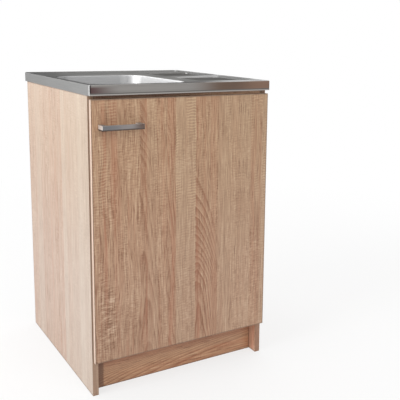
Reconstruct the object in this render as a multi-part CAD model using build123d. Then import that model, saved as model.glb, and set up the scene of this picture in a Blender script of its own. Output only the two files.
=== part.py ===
from build123d import *
import os
from math import cos, radians, sin, tan

# Free-standing kitchen sink unit: a board cabinet with one door, a lay-on stainless sink and its
# waste kit. Millimetres. X runs to the right, Y to the back, Z up. The origin is on the floor,
# under the middle of the outline, which runs from the handle's front to the sink's back edge.

# ---- cabinet boards
UNIT_HEIGHT = 850.0
BOARD = 16.0
SINK_WIDTH = 550.0
SINK_DEPTH = 600.0
SINK_APRON = 28.0
SINK_SIDE_OVERHANG = 3.0
SINK_FRONT_OVERHANG = 4.0
SINK_REAR_OVERHANG = 18.0
PLINTH_HEIGHT = 100.0
PLINTH_RECESS = 35.0
RAIL_HEIGHT = 80.0

# ---- door and handle
DOOR_THICKNESS = 16.0
DOOR_TO_CARCASS = 2.0
DOOR_SIDE_REVEAL = 2.0
DOOR_TOP_REVEAL = 10.0
HANDLE_LENGTH = 116.0
HANDLE_HEIGHT = 14.0
HANDLE_REACH = 30.0
HANDLE_BAR = 7.0
HANDLE_LEG = 14.0
HANDLE_HOLE_SPACING = 96.0
HANDLE_FROM_EDGE = 19.0
HANDLE_FROM_TOP = 71.0
HANDLE_EDGE_ROUND = 1.2
HANDLE_SCREW = 2.0
HANDLE_SCREW_HEAD = 4.2
HANDLE_SCREW_HEAD_HEIGHT = 1.6
HANDLE_SCREW_BITE = 12.0
BUMPER_RADIUS = 4.0
BUMPER_FROM_EDGE = 8.0
BUMPER_FROM_END = 40.0

# ---- knock-down joinery
CAM_RADIUS = 7.5
CAM_DEPTH = 12.5
CAM_SETBACK = 24.0
CAM_SLOT = 7.6
CAM_BOLT = 3.3
CAM_BOLT_THREAD = 2.5
CAM_BOLT_BITE = 11.0
DOWEL_RADIUS = 4.0
DOWEL_IN_PANEL = 10.0
DOWEL_IN_BOARD = 20.0
FIT_GAP = 0.1
PANEL_FRONT_ROW = 50.0
DOWEL_FROM_CAM = 32.0

# ---- screws into board
WOOD_SCREW = 1.75
WOOD_SCREW_HEAD = 3.6
WOOD_SCREW_HEAD_HEIGHT = 2.0
WOOD_SCREW_BITE = 11.0

# ---- plinth brackets
BRACKET_LEG = 26.0
BRACKET_WIDTH = 18.0
BRACKET_SHEET = 1.8
BRACKET_HOLE_REACH = 16.0

# ---- cup hinges, seen in plan from the door's hinge edge and rear face
HINGE_FROM_END = 105.0
HINGE_CUP_RADIUS = 17.5
HINGE_CUP_DEPTH = 12.0
HINGE_CUP_WALL = 0.9
HINGE_CUP_FROM_EDGE = 22.0
HINGE_FLANGE = 1.2
HINGE_FLANGE_WIDTH = 28.0
HINGE_FLANGE_HEIGHT = 62.0
HINGE_FLANGE_CORNER = 7.0
HINGE_CUP_SCREW_SPACING = 48.0
HINGE_CUP_SCREW_OFFSET = 6.0
DOOR_PIVOT = (-5.5, -12.0)
OUTER_LINK = ((-33.0, 4.5), (-22.8, -5.5), (-9.8, -2.4))
INNER_LINK = ((-27.0, 4.5), (-20.5, -5.9), (-9.5, -2.9))
LINK_THICKNESS = 2.4
LINK_EYE = 2.0
OUTER_LINK_HALF_SPAN = 5.4
OUTER_LINK_PLATE = 1.2
INNER_LINK_HALF_SPAN = 3.4
HINGE_PIN = 1.2
HINGE_PIN_GAP = 0.06
HINGE_ARM_HALF_SPAN = 10.2
HINGE_ARM_SHEET = 1.2
HINGE_ARM_WEB = 1.5
HINGE_ARM_LENGTH = 60.0
HINGE_ARM_NOSE = 4.0
HINGE_ARM_STAND = 23.5
HINGE_ARM_SKIRT_SETBACK = 16.0
HINGE_ARM_SCREW_SETBACK = 10.0
HINGE_PLATE_SETBACK = 37.0
HINGE_PLATE_WING = 2.0
HINGE_PLATE_HEIGHT = 54.0
HINGE_PLATE_WIDTH = 20.0
HINGE_PLATE_BODY = 8.0
HINGE_PLATE_LENGTH = 42.0
HINGE_PLATE_HOLES = 32.0
HINGE_PLATE_CORNER = 6.0
HINGE_SCREW = 2.5
HINGE_SCREW_HEAD = 4.2

# ---- sink pressing
SHEET = 1.0
SINK_CORNER = 7.0
HEM_BEARING = 12.0
RIM_WIDTH = 12.0
RIM_STEP = 3.0
DECK_CORNER = 18.0
PRESS_ROUND = 2.6
BOWL_WIDTH = 285.0
BOWL_LENGTH = 365.0
BOWL_DEPTH = 140.0
BOWL_FROM_LEFT = 28.0
BOWL_FROM_FRONT = 46.0
BOWL_CORNER = 62.0
BOWL_DRAFT = 4.0
BOWL_FLOOR_ROUND = 26.0
BOWL_RIM_ROUND = 4.0
PANEL_STEP = 4.0
BOWL_TO_PANEL = 54.0
PANEL_FROM_RIGHT = 25.0
PANEL_CORNER = 16.0
FRONT_PANEL_FROM_FRONT = 87.0
FRONT_PANEL_LENGTH = 184.0
PANEL_RIDGE = 38.0
REAR_PANEL_LENGTH = 170.0
CLIP_SHEET = 1.5
CLIP_WIDTH = 20.0
CLIP_DROP = 32.0
CLIP_REACH = 12.0
CLIP_HOLE_DROP = 18.0
CLIP_SPACING = 300.0

# ---- waste
DRAIN_RECESS = 2.0
DRAIN_RECESS_RADIUS = 39.0
DRAIN_HOLE = 27.0
FLANGE_RADIUS = 35.0
FLANGE_SHEET = 1.0
STRAINER_RADIUS = 25.0
STRAINER_DEPTH = 13.0
STRAINER_HOLE = 3.6
STRAINER_HOLES = 8
STRAINER_HOLE_CIRCLE = 16.0
SEAL_THICKNESS = 2.0
SEAL_RADIUS = 34.0
TOP_SEAL_THICKNESS = 1.0
DRAIN_SCREW = 3.0
DRAIN_SCREW_HEAD = 6.0
DRAIN_SCREW_LENGTH = 30.0
BODY_RIM = 5.0
BODY_RADIUS = 30.0
BODY_WALL = 3.0
BODY_CYLINDER = 44.0
BODY_CONE = 16.0
BODY_NECK = 12.0
SPIDER_THICKNESS = 5.0
SPIDER_BOSS = 6.5
PIPE_RADIUS = 20.0
PIPE_WALL = 2.2
SOCKET_DROP = 34.0
SOCKET_RADIUS = 16.5
SOCKET_REACH = 62.0
OVERFLOW_PIPE_RADIUS = 12.5
OVERFLOW_PIPE_WALL = 1.8
OVERFLOW_BEND = 80.0
OVERFLOW_DROP = 50.0
OVERFLOW_PLATE_WIDTH = 60.0
OVERFLOW_PLATE_HEIGHT = 39.0
OVERFLOW_PLATE_SHEET = 1.5
OVERFLOW_FRAME = 4.0
OVERFLOW_HOLE_INSET = 7.0
OVERFLOW_CORNER = 5.0
OVERFLOW_INNER_CORNER = 3.0
OVERFLOW_SLOT_LENGTH = 12.0
OVERFLOW_SLOT_HEIGHT = 3.4
OVERFLOW_SLOT_SPACING = (15.0, 8.0)
OVERFLOW_SEAL = 3.0
OVERFLOW_HOUSING_DEPTH = 34.0
OVERFLOW_HOUSING_WALL = 2.5
OVERFLOW_SLEEVE_LENGTH = 32.0
OVERFLOW_SCREW = 2.5
TAIL_LENGTH = 126.0
PUSH_FIT = 10.0
NUT_WALL = 5.0
NUT_HEIGHT = 20.0
NUT_RIBS = 10
NUT_RIB_DEPTH = 4.0
NUT_RIB_WIDTH = 2.5
TRAP_RADIUS = 38.0
TRAP_INLET_LEG = 42.0
TRAP_OUTLET_LEG = 14.0
ELBOW_RADIUS = 30.0
ELBOW_RISE = 10.0
OUTLET_LENGTH = 172.0
SPIGOT_RADIUS = 11.0
SPIGOT_BORE = 8.0
SPIGOT_LENGTH = 42.0
SPIGOT_TILT = 24.0
SPIGOT_FROM_TOP = 40.0
CAP_WALL = 2.0
CAP_DEPTH = 14.0
TETHER_RING = 8.0
TETHER_WIRE = 1.6

# ---- plug
PLUG_RADIUS = 23.5
PLUG_TAPER = 1.5
PLUG_HEIGHT = 8.0
PLUG_DOME = 6.0
PLUG_STEM_RADIUS = 4.2
PLUG_STEM_HEIGHT = 12.0
PLUG_STEM_FLAT = 4.0
PLUG_EYE = 1.7
PLUG_EYE_FROM_TOP = 3.2
PLUG_CLEARANCE = 0.3
RING_RADIUS = 9.0
RING_WIRE = 1.0

# ---- places worked out from the sizes above
unit_length = SINK_DEPTH + HANDLE_REACH - SINK_FRONT_OVERHANG
sink_back = unit_length / 2
sink_front = sink_back - SINK_DEPTH
door_face = sink_front + SINK_FRONT_OVERHANG
door_rear = door_face + DOOR_THICKNESS
handle_front = door_face - HANDLE_REACH
carcass_front = door_rear + DOOR_TO_CARCASS
carcass_back = sink_back - SINK_REAR_OVERHANG
carcass_top = UNIT_HEIGHT - SINK_APRON
panel_outer = SINK_WIDTH / 2 - SINK_SIDE_OVERHANG
panel_inner = panel_outer - BOARD
bottom_top = PLINTH_HEIGHT + BOARD
rail_bottom = carcass_top - RAIL_HEIGHT
plinth_front = carcass_front + PLINTH_RECESS

door_edge = panel_outer - DOOR_SIDE_REVEAL
door_top = carcass_top - DOOR_TOP_REVEAL
door_bottom = PLINTH_HEIGHT
handle_x = -door_edge + HANDLE_FROM_EDGE + HANDLE_LENGTH / 2
handle_z = door_top - HANDLE_FROM_TOP
hinge_heights = (door_bottom + HINGE_FROM_END, door_top - HINGE_FROM_END)

deck_z = UNIT_HEIGHT - RIM_STEP
bowl_left = -SINK_WIDTH / 2 + BOWL_FROM_LEFT
bowl_x = bowl_left + BOWL_WIDTH / 2
bowl_front = sink_front + BOWL_FROM_FRONT
bowl_y = bowl_front + BOWL_LENGTH / 2
bowl_floor = deck_z - BOWL_DEPTH
drain_floor = bowl_floor - DRAIN_RECESS
panel_width = SINK_WIDTH - BOWL_FROM_LEFT - BOWL_WIDTH - BOWL_TO_PANEL - PANEL_FROM_RIGHT
panel_x = SINK_WIDTH / 2 - PANEL_FROM_RIGHT - panel_width / 2
front_panel_y = sink_front + FRONT_PANEL_FROM_FRONT + FRONT_PANEL_LENGTH / 2
rear_panel_y = front_panel_y + (FRONT_PANEL_LENGTH + REAR_PANEL_LENGTH) / 2 + PANEL_RIDGE

flange_top = drain_floor + TOP_SEAL_THICKNESS + FLANGE_SHEET
strainer_floor = flange_top - STRAINER_DEPTH
body_top = drain_floor - SHEET - SEAL_THICKNESS
body_shoulder = body_top - BODY_CYLINDER
body_neck_top = body_shoulder - BODY_CONE
body_bottom = body_neck_top - BODY_NECK
socket_z = body_top - SOCKET_DROP
tail_top = body_neck_top
tail_bottom = tail_top - TAIL_LENGTH
trap_top = tail_bottom + PUSH_FIT
trap_centre_z = trap_top - TRAP_INLET_LEG
trap_outlet_top = trap_centre_z + TRAP_OUTLET_LEG
rise_y = bowl_y + 2 * TRAP_RADIUS
elbow_z = trap_outlet_top + ELBOW_RISE + ELBOW_RADIUS
outlet_end = rise_y + ELBOW_RADIUS + OUTLET_LENGTH
overflow_z = deck_z - OVERFLOW_DROP
plug_bottom = strainer_floor + FLANGE_SHEET + PLUG_CLEARANCE
plug_eye_z = plug_bottom + PLUG_HEIGHT + PLUG_DOME + PLUG_STEM_HEIGHT - PLUG_EYE_FROM_TOP

LOW = (Align.CENTER, Align.CENTER, Align.MIN)


# ---- shape helpers
def block(x0, x1, y0, y1, z0, z1):
    centre = ((x0 + x1) / 2, (y0 + y1) / 2, (z0 + z1) / 2)
    return Pos(*centre) * Box(abs(x1 - x0), abs(y1 - y0), abs(z1 - z0))


def rod(start, end, radius):
    along = Vector(*end) - Vector(*start)
    return Plane(origin=start, z_dir=along) * Cylinder(radius, along.length, align=LOW)


def moved(point, direction, distance):
    return tuple(p + d * distance for p, d in zip(point, direction))


def turned(profile, x, y):
    """A revolved solid on a vertical axis, from (radius, z) points."""
    face = Plane.XZ * make_face(Polyline(*profile, close=True))
    return Pos(x, y, 0) * revolve(face, Axis.Z)


def pipe(points, radius, wall, bend):
    path = FilletPolyline(*points, radius=bend)
    section = Plane(origin=path @ 0, z_dir=path % 0) * (Circle(radius) - Circle(radius - wall))
    return sweep(section, path)


def bar(points, half_width, eye, z0, z1):
    """A flat strip along a bent line in plan, with a round eye at each end."""
    strip = Part()
    for (ax, ay), (bx, by) in zip(points, points[1:]):
        run = Vector(bx - ax, by - ay)
        angle = Vector(1, 0).get_signed_angle(run, Vector(0, 0, 1))
        middle = Pos((ax + bx) / 2, (ay + by) / 2, (z0 + z1) / 2) * Rot(0, 0, angle)
        strip += middle * Box(run.length, 2 * half_width, z1 - z0)
    for x, y in points[1:-1]:
        strip += Pos(x, y, z0) * Cylinder(half_width, z1 - z0, align=LOW)
    for x, y in (points[0], points[-1]):
        strip += Pos(x, y, z0) * Cylinder(eye, z1 - z0, align=LOW)
    return strip


def wood_screw(head, direction, sunk=0.0):
    """A pan-head screw: head is the middle of the seat, direction points into the board."""
    out = moved(head, direction, -WOOD_SCREW_HEAD_HEIGHT)
    tip = moved(head, direction, WOOD_SCREW_BITE + sunk)
    cone = moved(tip, direction, -WOOD_SCREW)
    along = Plane(origin=cone, z_dir=Vector(*direction))
    point = along * Cone(WOOD_SCREW, 0.2, WOOD_SCREW, align=LOW)
    shank = rod(head, cone, WOOD_SCREW)
    top = rod(out, head, WOOD_SCREW_HEAD)
    slot = rod(moved(out, direction, -1), moved(out, direction, 1.1), 1.2)
    return top + shank + point - slot


def pilot(head, direction, sunk=0.0):
    back = moved(head, direction, -1)
    return rod(back, moved(head, direction, WOOD_SCREW_BITE + sunk + 0.5), WOOD_SCREW + FIT_GAP)


# ---- joinery: each joint is (side, y, z, the way the cam faces)
def cam_joints():
    down = (0, 0, -1)
    bottom_z = PLINTH_HEIGHT + BOARD / 2
    lower_rail_z = bottom_top + RAIL_HEIGHT / 2
    top_rail_z = carcass_top - RAIL_HEIGHT / 2
    rear_y = carcass_back - BOARD / 2
    joints = {"bottom_panel": [], "front_rail": [], "rear_top_rail": [], "rear_lower_rail": []}
    for side in (-1, 1):
        for y in (carcass_front + 2 * PANEL_FRONT_ROW, carcass_back - PANEL_FRONT_ROW):
            joints["bottom_panel"].append((side, y, bottom_z, down))
        joints["front_rail"].append((side, carcass_front + BOARD / 2, top_rail_z, (0, 1, 0)))
        joints["rear_top_rail"].append((side, rear_y, top_rail_z, (0, -1, 0)))
        joints["rear_lower_rail"].append((side, rear_y, lower_rail_z, (0, -1, 0)))
    return joints


def dowel_points():
    points = {}
    for board, joints in cam_joints().items():
        points[board] = []
        for side, y, z, facing in joints:
            if board == "bottom_panel":
                inward = 1 if y < (carcass_front + carcass_back) / 2 else -1
                points[board].append((side, y + inward * DOWEL_FROM_CAM, z))
            else:
                for step in (-1, 1):
                    points[board].append((side, y, z + step * DOWEL_FROM_CAM * 0.75))
    return points


def cam_seat(joint):
    side, y, z, facing = joint
    centre = (side * (panel_inner - CAM_SETBACK), y, z)
    return centre, moved(centre, facing, BOARD / 2)


def cam_disc(joint):
    side, y, z, facing = joint
    centre, face = cam_seat(joint)
    inner = moved(face, facing, -(CAM_DEPTH - FIT_GAP))
    disc = rod(inner, face, CAM_RADIUS - FIT_GAP)
    mouth = (centre[0] + side * CAM_RADIUS, y, z)
    disc -= rod(moved(centre, (side, 0, 0), -CAM_SLOT / 4), mouth, CAM_SLOT / 2)
    cross = moved(face, facing, -1.5)
    disc -= rod(cross, moved(face, facing, 1), 3.0)
    return disc


def cam_cutters(joint):
    side, y, z, facing = joint
    centre, face = cam_seat(joint)
    pocket = rod(moved(face, facing, -CAM_DEPTH), moved(face, facing, 1), CAM_RADIUS)
    bore = rod(centre, (side * (panel_inner + 1), y, z), CAM_BOLT + FIT_GAP)
    return [pocket, bore]


def cam_bolt(joint):
    side, y, z, facing = joint
    inner = (side * (panel_inner - CAM_SETBACK + 1), y, z)
    face = (side * panel_inner, y, z)
    neck = (side * (panel_inner - CAM_SETBACK + 4), y, z)
    shank = rod(face, (side * (panel_inner - CAM_SETBACK + 9), y, z), CAM_BOLT)
    head = rod(inner, neck, CAM_BOLT) + rod(neck, face, CAM_BOLT * 0.55)
    thread = rod(face, (side * (panel_inner + CAM_BOLT_BITE), y, z), CAM_BOLT_THREAD)
    return shank + head + thread


def panel_cutters(side):
    cutters = []
    for joints in cam_joints().values():
        for joint_side, y, z, facing in joints:
            if joint_side == side:
                start = (side * (panel_inner - 1), y, z)
                end = (side * (panel_inner + CAM_BOLT_BITE + 0.5), y, z)
                cutters.append(rod(start, end, CAM_BOLT_THREAD + FIT_GAP))
    for points in dowel_points().values():
        for point_side, y, z in points:
            if point_side == side:
                start = (side * (panel_inner - 1), y, z)
                end = (side * (panel_inner + DOWEL_IN_PANEL + 0.5), y, z)
                cutters.append(rod(start, end, DOWEL_RADIUS + FIT_GAP))
    return cutters


def board_cutters(name):
    cutters = []
    for joint in cam_joints()[name]:
        cutters += cam_cutters(joint)
    for side, y, z in dowel_points()[name]:
        start = (side * (panel_inner - DOWEL_IN_BOARD - 0.5), y, z)
        cutters.append(rod(start, (side * (panel_inner + 1), y, z), DOWEL_RADIUS + FIT_GAP))
    return cutters


def dowels():
    pegs = []
    for points in dowel_points().values():
        for side, y, z in points:
            start = (side * (panel_inner - DOWEL_IN_BOARD), y, z)
            peg = rod(start, (side * (panel_inner + DOWEL_IN_PANEL), y, z), DOWEL_RADIUS)
            pegs.append(chamfer(peg.edges(), 1.0))
    return pegs


# ---- carcass boards
def bracket_places():
    rear = plinth_front + BOARD
    return [(side, rear, PLINTH_HEIGHT / 2) for side in (-1, 1)]


def bracket_screw_heads():
    heads = []
    for side, rear, z in bracket_places():
        to_panel = (side * (panel_inner - BRACKET_SHEET), rear + BRACKET_HOLE_REACH, z)
        to_plinth = (side * (panel_inner - BRACKET_HOLE_REACH), rear + BRACKET_SHEET, z)
        heads.append((to_panel, (side, 0, 0)))
        heads.append((to_plinth, (0, -1, 0)))
    return heads


def clip_places():
    middle = (carcass_front + carcass_back) / 2
    return [(side, middle + step * CLIP_SPACING / 2) for side in (-1, 1) for step in (-1, 1)]


def clip_screw_heads():
    z = carcass_top - CLIP_HOLE_DROP
    return [((side * (panel_inner - CLIP_SHEET), y, z), (side, 0, 0)) for side, y in clip_places()]


def hinge_plate_screw_heads():
    heads = []
    y = carcass_front + HINGE_PLATE_SETBACK
    for height in hinge_heights:
        for step in (-1, 1):
            z = height + step * HINGE_PLATE_HOLES / 2
            heads.append(((panel_inner - HINGE_PLATE_WING, y, z), (1, 0, 0)))
    return heads


def side_panel(side):
    panel = block(side * panel_inner, side * panel_outer, carcass_front, carcass_back, 0, carcass_top)
    cutters = panel_cutters(side)
    heads = bracket_screw_heads() + clip_screw_heads()
    if side > 0:
        heads += hinge_plate_screw_heads()
    for head, direction in heads:
        if direction[0] == side:
            cutters.append(pilot(head, direction))
    return panel - cutters


def bottom_panel():
    panel = block(-panel_inner, panel_inner, carcass_front, carcass_back, PLINTH_HEIGHT, bottom_top)
    return panel - board_cutters("bottom_panel")


def front_rail():
    back = carcass_front + BOARD
    rail = block(-panel_inner, panel_inner, carcass_front, back, rail_bottom, carcass_top)
    return rail - board_cutters("front_rail")


def rear_rail(name, z0):
    front = carcass_back - BOARD
    rail = block(-panel_inner, panel_inner, front, carcass_back, z0, z0 + RAIL_HEIGHT)
    return rail - board_cutters(name)


def plinth_board():
    rear = plinth_front + BOARD
    board = block(-panel_inner, panel_inner, plinth_front, rear, 0, PLINTH_HEIGHT)
    for head, direction in bracket_screw_heads():
        if direction[1] != 0:
            board -= pilot(head, direction)
    return board


def plinth_brackets():
    half = BRACKET_WIDTH / 2
    brackets = []
    for side, rear, z in bracket_places():
        inner = side * (panel_inner - BRACKET_LEG)
        sheet = side * (panel_inner - BRACKET_SHEET)
        wall = side * panel_inner
        bracket = block(inner, wall, rear, rear + BRACKET_SHEET, z - half, z + half)
        bracket += block(sheet, wall, rear, rear + BRACKET_LEG, z - half, z + half)
        for head, direction in bracket_screw_heads():
            bracket -= rod(moved(head, direction, -1), moved(head, direction, 4), WOOD_SCREW + FIT_GAP)
        brackets.append(bracket)
    return brackets


# ---- door
def at_hinge(point, z):
    return (door_edge + point[0], door_rear + point[1], z)


def cup_screw_heads():
    x = door_edge - HINGE_CUP_FROM_EDGE - HINGE_CUP_SCREW_OFFSET
    y = door_rear + HINGE_FLANGE
    half = HINGE_CUP_SCREW_SPACING / 2
    return [((x, y, z + step * half), (0, -1, 0)) for z in hinge_heights for step in (-1, 1)]


def handle_hole_xs():
    return [handle_x + step * HANDLE_HOLE_SPACING / 2 for step in (-1, 1)]


def door_panel():
    door = block(-door_edge, door_edge, door_face, door_rear, door_bottom, door_top)
    x = door_edge - HINGE_CUP_FROM_EDGE
    for z in hinge_heights:
        door -= rod((x, door_rear + 1, z), (x, door_rear - HINGE_CUP_DEPTH - 0.5, z), HINGE_CUP_RADIUS)
    for head, direction in cup_screw_heads():
        door -= pilot(head, direction)
    for x in handle_hole_xs():
        start = (x, door_face - 1, handle_z)
        door -= rod(start, (x, door_rear + 1, handle_z), HANDLE_SCREW + 3 * FIT_GAP)
    return door


def door_handle():
    half = HANDLE_LENGTH / 2
    low = handle_z - HANDLE_HEIGHT / 2
    high = handle_z + HANDLE_HEIGHT / 2
    body = block(handle_x - half, handle_x + half, handle_front, door_face, low, high)
    inner = half - HANDLE_LEG
    gap = block(
        handle_x - inner, handle_x + inner, handle_front + HANDLE_BAR, door_face + 1, low - 1, high + 1
    )
    body -= gap
    front = body.faces().sort_by(Axis.Y)[0]
    body = fillet(front.edges(), HANDLE_EDGE_ROUND)
    for x in handle_hole_xs():
        end = (x, door_face - HANDLE_SCREW_BITE - 1, handle_z)
        body -= rod((x, door_face + 1, handle_z), end, HANDLE_SCREW + FIT_GAP)
    return body


def handle_screws():
    screws = []
    for x in handle_hole_xs():
        seat = (x, door_rear, handle_z)
        screw = rod(seat, (x, door_face - HANDLE_SCREW_BITE, handle_z), HANDLE_SCREW)
        crown = door_rear + HANDLE_SCREW_HEAD_HEIGHT
        screw += rod(seat, (x, crown, handle_z), HANDLE_SCREW_HEAD)
        screw -= block(x - 3, x + 3, crown - 0.8, crown + 1, handle_z - 0.5, handle_z + 0.5)
        screws.append(screw)
    return screws


def door_bumpers():
    x = -door_edge + BUMPER_FROM_EDGE
    thickness = DOOR_TO_CARCASS - 0.3
    bumpers = []
    for z in (door_bottom + BUMPER_FROM_END, door_top - BUMPER_FROM_END):
        pad = rod((x, door_rear, z), (x, door_rear + thickness, z), BUMPER_RADIUS)
        bumpers.append(fillet(pad.faces().sort_by(Axis.Y)[-1].edges(), 0.6))
    return bumpers


# ---- cup hinges
def hinge_cup(z):
    x = door_edge - HINGE_CUP_FROM_EDGE
    outer = HINGE_CUP_RADIUS - FIT_GAP
    bottom = door_rear - HINGE_CUP_DEPTH
    flange_y = door_rear + HINGE_FLANGE
    half_x = HINGE_FLANGE_WIDTH / 2
    half_z = HINGE_FLANGE_HEIGHT / 2
    flange = block(x - half_x, x + half_x, door_rear, flange_y, z - half_z, z + half_z)
    flange = fillet(flange.edges().filter_by(Axis.Y), HINGE_FLANGE_CORNER)
    cup = rod((x, bottom, z), (x, door_rear, z), outer) + flange
    cup -= rod((x, bottom + HINGE_CUP_WALL, z), (x, flange_y + 1, z), outer - HINGE_CUP_WALL)
    for (sx, sy, sz), direction in cup_screw_heads():
        cup -= rod((sx, sy - 3, sz), (sx, sy + 1, sz), WOOD_SCREW + FIT_GAP)
    return cup


def outer_link(z):
    points = [at_hinge(p, z)[:2] for p in OUTER_LINK]
    half = LINK_THICKNESS / 2
    top = z + OUTER_LINK_HALF_SPAN
    low = z - OUTER_LINK_HALF_SPAN
    x, y = points[0]
    link = bar(points, half, LINK_EYE, top - OUTER_LINK_PLATE, top)
    link += bar(points, half, LINK_EYE, low, low + OUTER_LINK_PLATE)
    link += rod((x, y, low), (x, y, top), LINK_EYE)
    return link - rod((x, y, low - 1), (x, y, top + 1), HINGE_PIN + HINGE_PIN_GAP)


def inner_link(z):
    points = [at_hinge(p, z)[:2] for p in INNER_LINK]
    x, y = points[0]
    low = z - INNER_LINK_HALF_SPAN
    top = z + INNER_LINK_HALF_SPAN
    link = bar(points, LINK_THICKNESS / 2, LINK_EYE, low, top)
    return link - rod((x, y, low - 1), (x, y, top + 1), HINGE_PIN + HINGE_PIN_GAP)


def hinge_pin(link, z):
    x, y = at_hinge(link[0], z)[:2]
    half = HINGE_ARM_HALF_SPAN
    return rod((x, y, z - half), (x, y, z + half), HINGE_PIN)


def hinge_arm(z):
    web_x = panel_inner - HINGE_ARM_STAND
    body_x = panel_inner - HINGE_PLATE_BODY
    nose_y = door_rear + HINGE_FLANGE + 0.6
    web_y = nose_y + 2 * HINGE_ARM_NOSE
    end_y = nose_y + HINGE_ARM_LENGTH
    half = HINGE_ARM_HALF_SPAN
    pivot_x = at_hinge(INNER_LINK[0], z)[0]
    skirt_y = carcass_front + HINGE_ARM_SKIRT_SETBACK
    arm = block(web_x, web_x + HINGE_ARM_WEB, web_y, end_y, z - half, z + half)
    for step in (-1, 1):
        outer = z + step * half
        inner = z + step * (half - HINGE_ARM_SHEET)
        cheek = block(web_x, pivot_x + HINGE_ARM_NOSE, nose_y, end_y, inner, outer)
        cheek += block(pivot_x, body_x + HINGE_ARM_NOSE, skirt_y, end_y, inner, outer)
        arm += cheek
    for link in (OUTER_LINK, INNER_LINK):
        x, y = at_hinge(link[0], z)[:2]
        arm -= rod((x, y, z - half - 1), (x, y, z + half + 1), HINGE_PIN + HINGE_PIN_GAP / 2)
    screw_y = arm_screw_y()
    arm -= rod((web_x - 1, screw_y, z), (web_x + 3, screw_y, z), HINGE_SCREW + FIT_GAP)
    return arm


def arm_screw_y():
    return carcass_front + HINGE_PLATE_SETBACK + HINGE_ARM_SCREW_SETBACK


def hinge_plate(z):
    y = carcass_front + HINGE_PLATE_SETBACK
    wing_x = panel_inner - HINGE_PLATE_WING
    body_x = panel_inner - HINGE_PLATE_BODY
    half_z = HINGE_PLATE_HEIGHT / 2
    half_y = HINGE_PLATE_WIDTH / 2
    body_half = HINGE_ARM_HALF_SPAN - HINGE_ARM_SHEET - 0.3
    wings = block(wing_x, panel_inner, y - half_y, y + half_y, z - half_z, z + half_z)
    wings = fillet(wings.edges().filter_by(Axis.X), HINGE_PLATE_CORNER)
    start = y - half_y - HINGE_PLATE_CORNER
    body = block(body_x, panel_inner, start, start + HINGE_PLATE_LENGTH, z - body_half, z + body_half)
    plate = wings + body
    screw_y = arm_screw_y()
    plate -= rod((body_x - 1, screw_y, z), (panel_inner - 1, screw_y, z), HINGE_SCREW + FIT_GAP)
    for head, direction in hinge_plate_screw_heads():
        plate -= rod(moved(head, direction, -1), moved(head, direction, 3), WOOD_SCREW + FIT_GAP)
    return plate


def hinge_arm_screw(z):
    web_x = panel_inner - HINGE_ARM_STAND
    y = arm_screw_y()
    screw = rod((web_x - 2.2, y, z), (web_x, y, z), HINGE_SCREW_HEAD)
    screw += rod((web_x, y, z), (panel_inner - 2, y, z), HINGE_SCREW)
    return screw - block(web_x - 3, web_x - 1.2, y - 3, y + 3, z - 0.5, z + 0.5)


# ---- sink pressing
def rounded_prism(x, y, width, length, corner, top, depth, draft=0.0):
    outline = Plane.XY.offset(top) * Pos(x, y) * RectangleRounded(width, length, corner)
    return extrude(outline, amount=-depth, taper=draft)


def pressed_hollow(grow):
    """Everything pressed down from the rim, grown all round by the sheet for its underside."""
    wide = 2 * grow
    deck = rounded_prism(
        0, sink_back - SINK_DEPTH / 2, SINK_WIDTH - 2 * RIM_WIDTH + wide,
        SINK_DEPTH - 2 * RIM_WIDTH + wide, DECK_CORNER + grow, UNIT_HEIGHT, RIM_STEP + grow,
    )
    panels = []
    for y, length in ((front_panel_y, FRONT_PANEL_LENGTH), (rear_panel_y, REAR_PANEL_LENGTH)):
        panels.append(rounded_prism(
            panel_x, y, panel_width + wide, length + wide, PANEL_CORNER + grow,
            UNIT_HEIGHT, RIM_STEP + PANEL_STEP + grow,
        ))
    bowl = rounded_prism(
        bowl_x, bowl_y, BOWL_WIDTH + wide, BOWL_LENGTH + wide, BOWL_CORNER + grow,
        deck_z, BOWL_DEPTH + grow, BOWL_DRAFT,
    )
    floor = bowl.faces().sort_by(Axis.Z)[0]
    bowl = fillet(floor.edges(), BOWL_FLOOR_ROUND + grow)
    mouth = rounded_prism(
        bowl_x, bowl_y, BOWL_WIDTH + wide, BOWL_LENGTH + wide, BOWL_CORNER + grow,
        UNIT_HEIGHT, RIM_STEP + grow,
    )
    recess = Pos(bowl_x, bowl_y, drain_floor - grow) * Cylinder(
        DRAIN_RECESS_RADIUS + grow, DRAIN_RECESS + BOWL_FLOOR_ROUND, align=LOW
    )
    hollow = deck + panels + bowl + mouth + recess
    rim = [
        edge
        for edge in hollow.edges()
        if abs(edge.center().Z - (deck_z - grow)) < 0.01
        and abs(edge.center().X - bowl_x) <= BOWL_WIDTH / 2 + 2
        and abs(edge.center().Y - bowl_y) <= BOWL_LENGTH / 2 + 2
    ]
    return fillet(rim, BOWL_RIM_ROUND - grow)


def overflow_plane(offset):
    """On the bowl's rear wall: X to the right, Z into the unit's back, square to the drafted wall."""
    draft = radians(BOWL_DRAFT)
    y = bowl_y + BOWL_LENGTH / 2 - OVERFLOW_DROP * tan(draft)
    normal = Vector(0, cos(draft), -sin(draft))
    origin = Vector(bowl_x, y, overflow_z) + normal * offset
    return Plane(origin=origin, x_dir=(1, 0, 0), z_dir=normal)


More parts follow.
